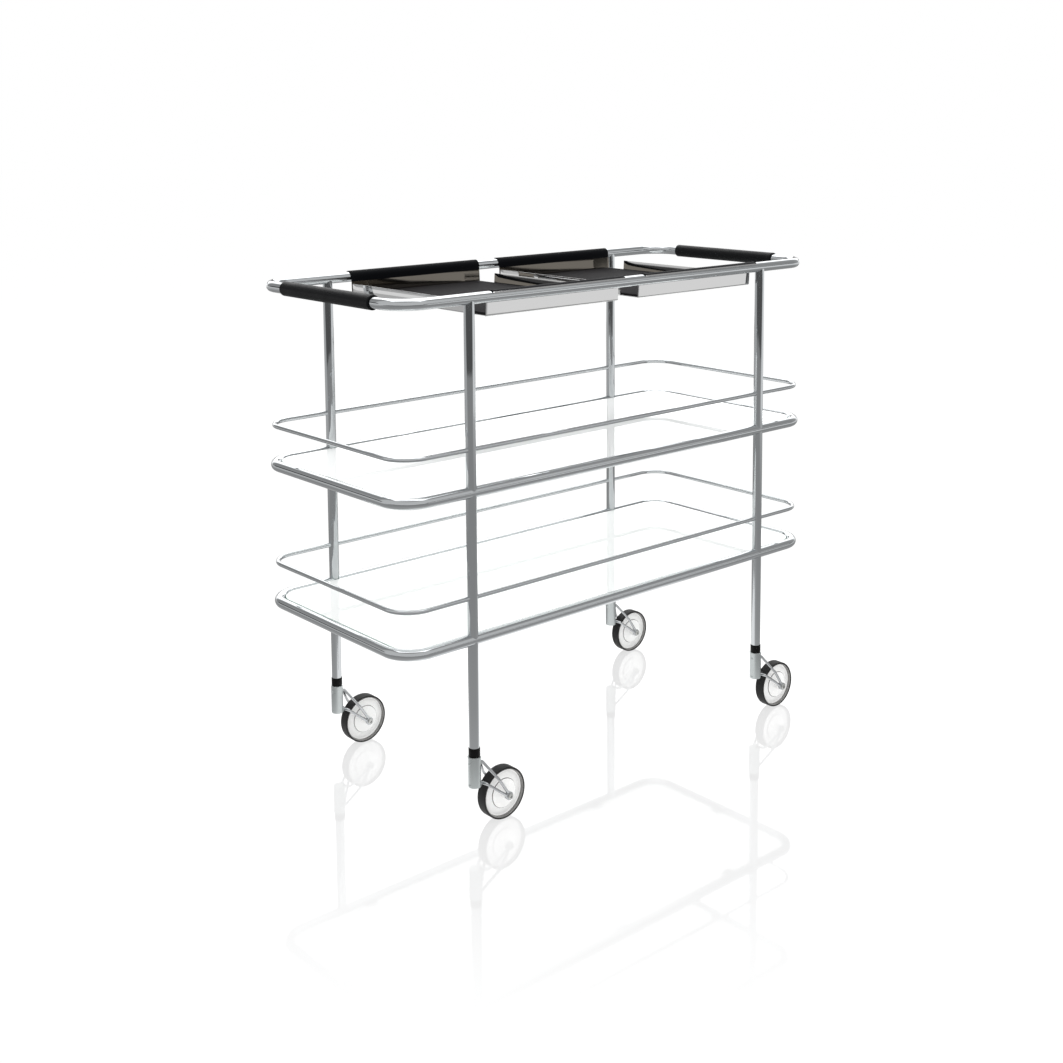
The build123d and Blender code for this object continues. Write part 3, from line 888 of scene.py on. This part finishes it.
RIM_HALF = 9.2 * MM
RIM_WALL = 1.4 * MM
BARE_RIM = 2.6 * MM                     # width of the rim that is left bare
BARE_STEP = 0.7 * MM                    # half the width of the bare step round the raised disc
TYRE_THICKNESS = 2.6 * MM
TYRE_ROUND = 1.6 * MM
NEAR_WHITE, BARE = range(2)                # the wheel's finishes, in order
RIVET_DOME = [(r * MM, h * MM) for r, h in ((0, 1.4), (1.3, 1.2), (2.1, 0.7), (2.6, 0), (2.6, -2))]


def caster_places(corner):
    """The heights and reaches of one caster, relative to its leg's axis."""
    x, y, _ = middle(f"{corner}_leg")
    wheel = middle(f"{corner}_tyre")
    bottom, top = (edge.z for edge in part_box(f"{corner}_housing"))
    eye_outer = span(f"{corner}_fork").y / 2
    return {
        "axis": Vector((x, y, 0)), "trail": wheel.x - x, "axle": wheel.z,
        "bottom": bottom, "top": top,
        "upper_lug": top - UPPER_LUG_DROP, "lower_lug": bottom + LUG_HEIGHT / 2,
        "lug_end": BARREL_FLAT + LUG_REACH,
        "eye_outer": eye_outer, "eye": eye_outer - EYE_WIDTH / 2,
        "tyre_half": span(f"{corner}_tyre").y / 2,
    }


def fork_paths(at):
    """The paths of the four fork wires, as they lie at rest."""
    def slope(x0, z0, x1, z1, x):
        return z0 + (z1 - z0) * (x - x0) / (x1 - x0)

    start = at["lug_end"] - WIRE_SOCKET
    first = at["lug_end"] + WIRE_RADIUS + KNEE_GAP
    second = at["lug_end"] + WIRE_RADIUS
    knee = (second + TIGHT_BEND, at["tyre_half"] + WIRE_RADIUS + KNEE_GAP, at["lower_lug"] - KNEE_GAP)
    straight = at["lug_end"] + SPREAD_LENGTH
    high, low = at["axle"] + WIRE_RADIUS, at["axle"] - WIRE_RADIUS
    paths = []
    for side in (-1, 1):
        upper = [
            (start, WIRE_OFFSET, at["upper_lug"], 0),
            (first, WIRE_OFFSET, at["upper_lug"], TIGHT_BEND),
            (straight, at["eye"], slope(first, at["upper_lug"], at["trail"], high, straight), WIDE_BEND),
            (at["trail"], at["eye"], high, 0)]
        lower = [
            (start, WIRE_OFFSET, at["lower_lug"], 0),
            (second, WIRE_OFFSET, at["lower_lug"], TIGHT_BEND),
            (*knee, TIGHT_BEND),
            (straight, at["eye"], slope(knee[0], knee[2], at["trail"], low, straight), WIDE_BEND),
            (at["trail"], at["eye"], low, 0)]
        for path in (upper, lower):
            paths.append([(at["axis"] + Vector((x, side * y, z)), bend) for x, y, z, bend in path])
    return paths


class CART_OT_forks(bpy.types.Operator):
    """Make each caster's collar, swivel housing, wire fork and axle bolt"""
    bl_idname = "cart.forks"
    bl_label = "Caster forks"

    def execute(self, context):
        for corner in CORNERS:
            at = caster_places(corner)
            body = f"{corner}_caster"
            self.collar(corner)
            self.housing(corner, at, body)
            wires = bent_tube(
                f"{corner}_fork_wires", fork_paths(at), WIRE_RADIUS, finish("wire"), sides=32)
            mount(wires, body, "polished_chrome", f"{corner}_fork")
            self.eyes(corner, at, body)
            self.axle(corner, at, body)
            for node in (f"{corner}_axle_sleeve", f"{corner}_stem"):
                dress(node, "zinc")
        return {"FINISHED"}

    def collar(self, corner):
        node = f"{corner}_collar"
        low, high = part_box(node)
        radius = span(node).x / 2
        half = (high.z - low.z) / 2
        outline = rounded_corners(
            [(PIN_BORE, -half, 0), (radius, -half, 0.8 * MM), (radius, half, 0.8 * MM), (PIN_BORE, half, 0)],
            closed=True)
        ring = f"{corner}_collar_ring"
        form = turned(outline, middle(node), (0, 0, 1))
        mount(finish_mesh(ring, to_mesh(form, ring), [finish("nylon")]), "cart_frame", "collar_plastic", node)

    def housing(self, corner, at, body):
        low, high = at["bottom"], at["top"]
        lip = BARREL_RADIUS + LIP_REACH
        outline = rounded_corners([
            (0, low, 0), (BARREL_RADIUS, low, 1.2 * MM),
            (BARREL_RADIUS, high - 2.2 * MM, 0.3 * MM), (lip, high - 1.8 * MM, 0.3 * MM),
            (lip, high, 0.7 * MM), (PIN_BORE, high, 0.3 * MM),
            (PIN_BORE, high - PIN_DEPTH, 0), (0, high - PIN_DEPTH, 0),
        ], closed=False)
        barrel = turned(outline, at["axis"].copy(), (0, 0, 1), closed=False)
        cut = bmesh.ops.bisect_plane(
            barrel, geom=barrel.verts[:] + barrel.edges[:] + barrel.faces[:], clear_outer=True,
            plane_co=at["axis"] + Vector((BARREL_FLAT, 0, 0)), plane_no=(1, 0, 0))
        rim = [edge for edge in cut["geom_cut"] if isinstance(edge, bmesh.types.BMEdge)]
        bmesh.ops.contextual_create(barrel, geom=rim)
        bmesh.ops.recalc_face_normals(barrel, faces=barrel.faces)
        forms = [barrel]
        width = WIRE_OFFSET + WIRE_RADIUS + LUG_WALL
        for height in (at["upper_lug"], at["lower_lug"]):
            start = at["axis"] + Vector((BARREL_RADIUS * 0.5, -width, height - LUG_HEIGHT / 2))
            end = at["axis"] + Vector((at["lug_end"], width, height + LUG_HEIGHT / 2))
            forms.append(rounded_box(start, end, LUG_WALL * 0.8))
            place = at["axis"] + Vector((-BARREL_RADIUS, 0, height))
            forms.append(turned(RIVET_DOME, place, (-1, 0, 0), sides=32, closed=False))
        mesh = to_mesh(joined(forms), f"{corner}_barrel", 40)
        housing = finish_mesh(f"{corner}_barrel", mesh, [finish("housing")])
        mount(housing, body, "housing_metal", f"{corner}_housing")

    def eyes(self, corner, at, body):
        forms = []
        for side in (-1, 1):
            half = EYE_WIDTH / 2
            outline = rounded_corners(
                [(BOLT_BORE, -half, 0), (EYE_RADIUS, -half, 1.2 * MM), (EYE_RADIUS, half, 1.2 * MM),
                 (BOLT_BORE, half, 0)], closed=True)
            place = at["axis"] + Vector((at["trail"], side * at["eye"], at["axle"]))
            forms.append(turned(outline, place, (0, 1, 0), sides=48))
        mesh = to_mesh(joined(forms), f"{corner}_fork_eyes", 40)
        eyes = finish_mesh(f"{corner}_fork_eyes", mesh, [finish("wire")])
        mount(eyes, body, "polished_chrome", f"{corner}_fork")

    def axle(self, corner, at, body):
        head = (span(f"{corner}_axle").y - 2 * at["eye_outer"]) / 2
        forms = []
        for side in (-1, 1):
            outline = rounded_corners([
                (0, head * 0.35, 0), (HEAD_SOCKET, head * 0.35, 0), (HEAD_SOCKET, head, 0.2 * MM),
                (HEAD_RADIUS, head, 1.3 * MM), (HEAD_RADIUS, 0, 0), (0, 0, 0)], closed=False)
            place = at["axis"] + Vector((at["trail"], side * at["eye_outer"], at["axle"]))
            forms.append(turned(outline, place, (0, side, 0), sides=36, closed=False))
        end = at["eye_outer"]
        shank = [(0, -end), (BOLT_RADIUS, -end), (BOLT_RADIUS, end), (0, end)]
        place = at["axis"] + Vector((at["trail"], 0, at["axle"]))
        forms.append(turned(shank, place, (0, 1, 0), sides=32, closed=False))
        mesh = to_mesh(joined(forms), f"{corner}_axle_bolt", 40)
        bolt = finish_mesh(f"{corner}_axle_bolt", mesh, [finish("zinc")])
        mount(bolt, body, "axle_steel", f"{corner}_axle")


class CART_OT_wheels(bpy.types.Operator):
    """Make the four turned wheels and their tyres"""
    bl_idname = "cart.wheels"
    bl_label = "Wheels and tyres"

    def execute(self, context):
        for corner in CORNERS:
            hub = middle(f"{corner}_tyre")
            self.wheel(corner, hub)
            self.tyre(corner, hub)
        return {"FINISHED"}

    def wheel(self, corner, hub):
        rim = span(f"{corner}_wheel").x / 2
        end = span(f"{corner}_wheel").y / 2
        half = [
            (SLEEVE_BORE, end, 0.2 * MM), (HUB_RADIUS, end, 0.6 * MM), (HUB_RADIUS, DISC_HALF, 1.5 * MM),
            (HUB_DISC, DISC_HALF, 1.0 * MM), (HUB_DISC, 6.8 * MM, 0.4 * MM),
            (rim - RIM_WALL, 1.5 * MM, 3.0 * MM), (rim - RIM_WALL, RIM_HALF, 0.5 * MM),
            (rim, RIM_HALF, 0.4 * MM),
        ]
        outline = rounded_corners(
            half + [(r, -h, bend) for r, h, bend in reversed(half)], closed=True, steps=5)
        form = turned(outline, hub, (0, 1, 0), sides=128)
        for face in form.faces:
            out = face.calc_center_median() - hub
            reach = math.hypot(out.x, out.z)
            bare = reach > rim - BARE_RIM or abs(reach - HUB_DISC) < BARE_STEP
            face.material_index = BARE if bare else NEAR_WHITE
        mesh = to_mesh(form, f"{corner}_wheel_disc", 50)
        wheel = finish_mesh(f"{corner}_wheel_disc", mesh, [finish("wheel"), finish("rim")])
        mount(wheel, f"{corner}_roller", "wheel_metal", f"{corner}_wheel")

    def tyre(self, corner, hub):
        radius = span(f"{corner}_tyre").x / 2
        half = span(f"{corner}_tyre").y / 2
        inner = radius - TYRE_THICKNESS
        outline = rounded_corners(
            [(inner, -half, 0.5 * MM), (radius, -half, TYRE_ROUND), (radius, half, TYRE_ROUND),
             (inner, half, 0.5 * MM)], closed=True, steps=8)
        band = f"{corner}_tyre_band"
        form = turned(outline, hub, (0, 1, 0), sides=128)
        tyre = finish_mesh(band, to_mesh(form, band), [finish("tyre")])
        mount(tyre, f"{corner}_roller", "tyre_rubber", f"{corner}_tyre")


# ---- Studio ----

CAMERA_YAW, CAMERA_PITCH, CAMERA_ROLL = 0.7148, 0.116, -0.007
CAMERA_PLACE = (-1.8007, -2.0307, 1.1809)
LENS, SHIFT = 49.52, (-0.0026, -0.2306)
FLOOR_REACH = 30.0                      # half the floor's edge, in metres
CARD_HEIGHT = 0.002                     # how far the floor card lies over the floor
# The floor card's two parts, from corner to corner: across the view, and away from the camera.
CARD_PARTS = (((-8, -9), (3.2, 5.5)), ((3.2, -9), (8, -1.5)))
BRIGHTNESS_TO_WATTS = 4                 # a softbox's watts for each square metre at level 1
SOFTBOX_ON_MATTE = 0.45                 # share of the softbox's light that matte surfaces get
# Patches that mirrors see dark: (degrees round the view, share) and (degrees up, share).
FLAG_LEVEL = 0.06
FLAGS = (
    ([(-94, 0.0), (-88, 1.0), (-68, 1.0), (-62, 0.0)], [(3.5, 0.0), (5, 1.0), (11.5, 1.0), (13, 0.0)]),
    ([(78, 0.0), (84, 1.0), (118, 1.0), (124, 0.0)], [(-2, 0.0), (-1.5, 1.0), (2.6, 1.0), (3.2, 0.0)]),
    ([(-178, 1.0), (-125, 1.0), (-118, 0.0)], [(-7.8, 0.0), (-7.2, 1.0), (-1, 1.0), (0, 0.0)]),
)
AHEAD = Vector((math.sin(CAMERA_YAW), math.cos(CAMERA_YAW)))
ACROSS = Vector((math.cos(CAMERA_YAW), -math.sin(CAMERA_YAW)))


def studio_point(across, ahead, height):
    """A place in the studio, from its distances to the camera's right and away from the camera."""
    x, y = ACROSS * across + AHEAD * ahead
    return Vector((x, y, height))


def plate(name, quads, material):
    """A stage card made of quads, each four corners in order."""
    form = bmesh.new()
    for corners in quads:
        form.faces.new([form.verts.new(corner) for corner in corners])
    mesh = bpy.data.meshes.new(name)
    form.to_mesh(mesh)
    form.free()
    card = finish_mesh(name, mesh, [material])
    return card


def background_rays(tree):
    """1 for rays that show the background: from the camera, and off or through shiny things."""
    rays = add(tree, "ShaderNodeLightPath").outputs
    some = add(tree, "ShaderNodeMath", {
        0: rays["Is Camera Ray"], 1: rays["Is Glossy Ray"]}, operation="MAXIMUM")
    return add(tree, "ShaderNodeMath", {
        0: some.outputs["Value"], 1: rays["Is Transmission Ray"]}, operation="MAXIMUM").outputs["Value"]


def steps_of(tree, value, levels):
    """A level that runs straight between given (value, level) pairs."""
    total = levels[0][1]
    for (low, before), (high, after) in zip(levels, levels[1:]):
        step = add(tree, "ShaderNodeMapRange", {
            "Value": value, "From Min": low, "From Max": high, "To Min": 0.0, "To Max": after - before})
        total = add(tree, "ShaderNodeMath", {0: total, 1: step.outputs["Result"]}).outputs["Value"]
    return total


def floor_finish():
    """White floor with a clear polish round the cart, which fades out a metre from its middle."""
    material, tree, output = new_material("white_acrylic_floor")
    matte = add(tree, "ShaderNodeBsdfDiffuse", {"Color": linear("#FFFFFF")})
    plain = add(tree, "ShaderNodeEmission", {"Color": (1, 1, 1, 1), "Strength": 1.0})
    share = add(tree, "ShaderNodeMath", {0: background_rays(tree), 1: 0.9}, operation="MULTIPLY")
    base = add(tree, "ShaderNodeMixShader", {
        "Fac": share.outputs["Value"], 1: matte.outputs["BSDF"], 2: plain.outputs["Emission"]})
    polish = add(tree, "ShaderNodeBsdfGlossy", {"Color": (1, 1, 1, 1), "Roughness": 0.04})
    fresnel = add(tree, "ShaderNodeFresnel", {"IOR": 2.0})
    place = add(tree, "ShaderNodeTexCoord").outputs["Object"]
    away = add(tree, "ShaderNodeVectorMath", {0: place}, operation="LENGTH").outputs["Value"]
    fade = steps_of(tree, away, [(0.62, 1.0), (1.0, 0.0)])
    gloss = add(tree, "ShaderNodeMath", {0: fresnel.outputs["Fac"], 1: fade}, operation="MULTIPLY")
    whole = add(tree, "ShaderNodeMixShader", {
        "Fac": gloss.outputs["Value"], 1: base.outputs["Shader"], 2: polish.outputs["BSDF"]})
    tree.links.new(whole.outputs["Shader"], output.inputs["Surface"])
    return material


def one_sided(name, level_of):
    """A glowing card that is clear from behind. level_of(tree, place) gives its brightness."""
    material, tree, output = new_material(name)
    place = add(tree, "ShaderNodeTexCoord").outputs["Object"]
    glow = add(tree, "ShaderNodeEmission", {"Strength": level_of(tree, place)})
    clear = add(tree, "ShaderNodeBsdfTransparent")
    side = add(tree, "ShaderNodeNewGeometry")
    whole = add(tree, "ShaderNodeMixShader", {
        "Fac": side.outputs["Backfacing"], 1: glow.outputs["Emission"], 2: clear.outputs["BSDF"]})
    tree.links.new(whole.outputs["Shader"], output.inputs["Surface"])
    return material


def floor_card_level(tree, place):
    """Brighter than white between the legs, then grey, and dark far out. Paler to both sides of the view.

    These levels were fitted to the chrome, like the room's."""
    past = add(tree, "ShaderNodeVectorMath", {0: place}, operation="ABSOLUTE").outputs["Vector"]
    past = add(tree, "ShaderNodeVectorMath", {0: past, 1: (LEG_X, LEG_Y, 0)}, operation="SUBTRACT")
    past = add(tree, "ShaderNodeVectorMath", {0: past.outputs["Vector"], 1: (0, 0, 0)}, operation="MAXIMUM")
    away = add(tree, "ShaderNodeVectorMath", {0: past.outputs["Vector"]}, operation="LENGTH").outputs["Value"]
    level = steps_of(tree, away, [
        (0.05, 1.25), (0.2, 0.55), (0.5, 0.45), (1.2, 0.38), (4.2, 0.36), (4.35, 0.12)])
    sideways = add(tree, "ShaderNodeVectorMath", {0: place, 1: (*ACROSS, 0)}, operation="DOT_PRODUCT")
    sideways = add(tree, "ShaderNodeMath", {0: sideways.outputs["Value"]}, operation="ABSOLUTE")
    share = add(tree, "ShaderNodeMapRange", {
        "Value": sideways.outputs["Value"], "From Min": 1.8, "From Max": 3.0})
    ahead = add(tree, "ShaderNodeVectorMath", {0: place, 1: (*AHEAD, 0)}, operation="DOT_PRODUCT")
    beside = add(tree, "ShaderNodeMapRange", {
        "Value": ahead.outputs["Value"], "From Min": -2.6, "From Max": -2.0})
    share = add(tree, "ShaderNodeMath", {
        0: share.outputs["Result"], 1: beside.outputs["Result"]}, operation="MULTIPLY")
    return add(tree, "ShaderNodeMix", {
        "Factor": share.outputs["Value"], "A": level, "B": 0.6}).outputs["Result"]


def room_level(tree):
    """The room's brightness by direction, as mirrors see it.

    Nothing stands there: the levels are painted on the world, and were fitted to the
    chrome. Past the cart it is bright, up to 2.1 where white is 1, over a low dark band. To both
    sides of that it is grey, then pale beside and behind the camera, and grey overhead."""
    place = add(tree, "ShaderNodeTexCoord").outputs["Generated"]
    flat = add(tree, "ShaderNodeVectorMath", {0: place, 1: (1, 1, 0)}, operation="MULTIPLY").outputs["Vector"]
    flat = add(tree, "ShaderNodeVectorMath", {0: flat}, operation="NORMALIZE").outputs["Vector"]
    across = add(tree, "ShaderNodeVectorMath", {0: flat, 1: (*ACROSS, 0)}, operation="DOT_PRODUCT")
    ahead = add(tree, "ShaderNodeVectorMath", {0: flat, 1: (*AHEAD, 0)}, operation="DOT_PRODUCT")
    turn = add(tree, "ShaderNodeMath", {
        0: across.outputs["Value"], 1: ahead.outputs["Value"]}, operation="ARCTAN2").outputs["Value"]
    up = add(tree, "ShaderNodeSeparateXYZ", {"Vector": place}).outputs["Z"]
    rise = add(tree, "ShaderNodeMath", {0: up}, operation="ARCSINE").outputs["Value"]

    def by_angle(angle, levels):
        return steps_of(tree, angle, [(math.radians(degrees), level) for degrees, level in levels])

    around = by_angle(turn, [
        (-110, 0.78), (-82, 0.75), (-74, 0.45), (-60, 0.36), (-46, 0.38), (-33, 2.1),
        (33, 2.1), (46, 0.5), (60, 0.46), (84, 0.38), (93, 0.75), (110, 0.78)])
    sweep = by_angle(rise, [(1, 0.85), (2.5, 0.1), (8.5, 0.1), (10.5, 1.0)])
    sector = by_angle(turn, [(-40, 0.0), (-28, 1.0), (28, 1.0), (40, 0.0)])
    side = add(tree, "ShaderNodeMath", {0: sector, 1: sweep}, operation="MULTIPLY").outputs["Value"]
    rest = add(tree, "ShaderNodeMath", {0: 1.0, 1: sector}, operation="SUBTRACT").outputs["Value"]
    share = add(tree, "ShaderNodeMath", {0: side, 1: rest}, operation="ADD").outputs["Value"]
    walls = add(tree, "ShaderNodeMath", {0: around, 1: share}, operation="MULTIPLY").outputs["Value"]
    for place_along, reach_up in FLAGS:
        hidden = add(tree, "ShaderNodeMath", {
            0: by_angle(turn, place_along), 1: by_angle(rise, reach_up)}, operation="MULTIPLY").outputs["Value"]
        walls = add(tree, "ShaderNodeMix", {
            "Factor": hidden, "A": walls, "B": FLAG_LEVEL}).outputs["Result"]
    above = by_angle(rise, [(50, 0.0), (62, 1.0)])
    return add(tree, "ShaderNodeMix", {"Factor": above, "A": walls, "B": 0.4}).outputs["Result"]


def mirrors_only(card):
    """Let only mirror reflections see a card."""
    card.visible_camera = False
    card.visible_diffuse = False
    card.visible_transmission = False
    card.visible_volume_scatter = False
    card.visible_shadow = False


class CART_OT_studio(bpy.types.Operator):
    """Make the white floor, the grey card that the chrome mirrors, the soft light, and the camera"""
    bl_idname = "cart.studio"
    bl_label = "Studio and camera"

    def execute(self, context):
        settings = context.scene.cart_studio
        self.world(context, settings)
        plate("floor", [self.quad((-FLOOR_REACH, -FLOOR_REACH), (FLOOR_REACH, FLOOR_REACH), 0)],
              floor_finish())
        mirrors_only(plate(
            "floor_card", [self.quad(low, high, CARD_HEIGHT) for low, high in CARD_PARTS],
            one_sided("grey_floor_card", floor_card_level)))
        light = bpy.data.lights.new("softbox", "AREA")
        light.shape = "SQUARE"
        light.size = settings.softbox
        light.energy = BRIGHTNESS_TO_WATTS * settings.softbox_level * settings.softbox ** 2
        light.diffuse_factor = SOFTBOX_ON_MATTE
        lamp = bpy.data.objects.new("softbox", light)
        lamp.location = studio_point(0, settings.softbox_ahead, settings.ceiling)
        lamp.rotation_euler = (0, 0, -CAMERA_YAW)
        context.scene.collection.objects.link(lamp)
        self.camera(context)
        context.scene.view_settings.view_transform = "Standard"
        return {"FINISHED"}

    def quad(self, low, high, height):
        """The corners of a level rectangle, counterclockwise from above."""
        (left, near), (right, far) = low, high
        return [studio_point(across, ahead, height) for across, ahead in (
            (left, near), (right, near), (right, far), (left, far))]

    def world(self, context, settings):
        """White for the camera and through glass, and the ambient level for matte surfaces.

        Mirrors don't see that white. They see the painted levels of room_level."""
        world = bpy.data.worlds.new("White room")
        world.use_nodes = True
        tree = world.node_tree
        tree.nodes.clear()
        rays = add(tree, "ShaderNodeLightPath").outputs
        level = add(tree, "ShaderNodeMapRange", {
            "Value": background_rays(tree), "To Min": settings.ambient, "To Max": 1.0})
        seen = add(tree, "ShaderNodeMix", {
            "Factor": rays["Is Glossy Ray"], "A": level.outputs["Result"], "B": room_level(tree)})
        room = add(tree, "ShaderNodeBackground", {"Color": (1, 1, 1, 1), "Strength": seen.outputs["Result"]})
        add(tree, "ShaderNodeOutputWorld", {"Surface": room.outputs["Background"]})
        context.scene.world = world

    def camera(self, context):
        """Set the camera where the cart shows its front and its left end, a little from above."""
        yaw, pitch, roll = CAMERA_YAW, CAMERA_PITCH, CAMERA_ROLL
        ahead = Vector((
            math.sin(yaw) * math.cos(pitch), math.cos(yaw) * math.cos(pitch), -math.sin(pitch)))
        right = Vector((math.cos(yaw), -math.sin(yaw), 0))
        up = right.cross(ahead)
        turned_right = right * math.cos(roll) + up * math.sin(roll)
        turned_up = up * math.cos(roll) - right * math.sin(roll)
        view = Matrix((turned_right, turned_up, -ahead)).transposed().to_4x4()
        data = bpy.data.cameras.new("camera")
        data.sensor_width = 36
        data.lens = LENS
        data.shift_x, data.shift_y = SHIFT
        data.clip_end = 200
        camera = bpy.data.objects.new("camera", data)
        camera.matrix_world = Matrix.Translation(CAMERA_PLACE) @ view
        context.scene.collection.objects.link(camera)
        context.scene.camera = camera


# ---- Add-on ----

OPERATORS = (
    CART_OT_rings, CART_OT_legs, CART_OT_gallery, CART_OT_shelves, CART_OT_grips,
    CART_OT_trays, CART_OT_forks, CART_OT_wheels, CART_OT_studio,
)


class CART_PT_panel(bpy.types.Panel):
    """Lists the cart's sizes, colours and steps"""
    bl_idname = "CART_PT_panel"
    bl_label = "Bar cart"
    bl_space_type = "VIEW_3D"
    bl_region_type = "UI"
    bl_category = "Bar Cart"

    def draw(self, context):
        for group in ("cart_sizes", "cart_colours", "cart_studio"):
            settings = getattr(context.scene, group)
            for name in settings.bl_rna.properties.keys():
                if name not in ("rna_type", "name"):
                    self.layout.prop(settings, name)
        for operator in OPERATORS:
            self.layout.operator(operator.bl_idname)


CLASSES = (CartSizes, CartColours, StudioSettings, *OPERATORS, CART_PT_panel)


def register():
    """Register the classes and hang the settings on the scene."""
    for item in CLASSES:
        bpy.utils.register_class(item)
    bpy.types.Scene.cart_sizes = bpy.props.PointerProperty(type=CartSizes)
    bpy.types.Scene.cart_colours = bpy.props.PointerProperty(type=CartColours)
    bpy.types.Scene.cart_studio = bpy.props.PointerProperty(type=StudioSettings)


def unregister():
    """Take the settings and the classes away again."""
    for name in ("cart_sizes", "cart_colours", "cart_studio"):
        delattr(bpy.types.Scene, name)
    for item in reversed(CLASSES):
        bpy.utils.unregister_class(item)


def main():
    """Build the cart and its studio in order."""
    register()
    for step in ("rings", "legs", "gallery", "shelves", "grips", "trays", "forks", "wheels", "studio"):
        getattr(bpy.ops.cart, step)()


if __name__ == "__main__":
    main()
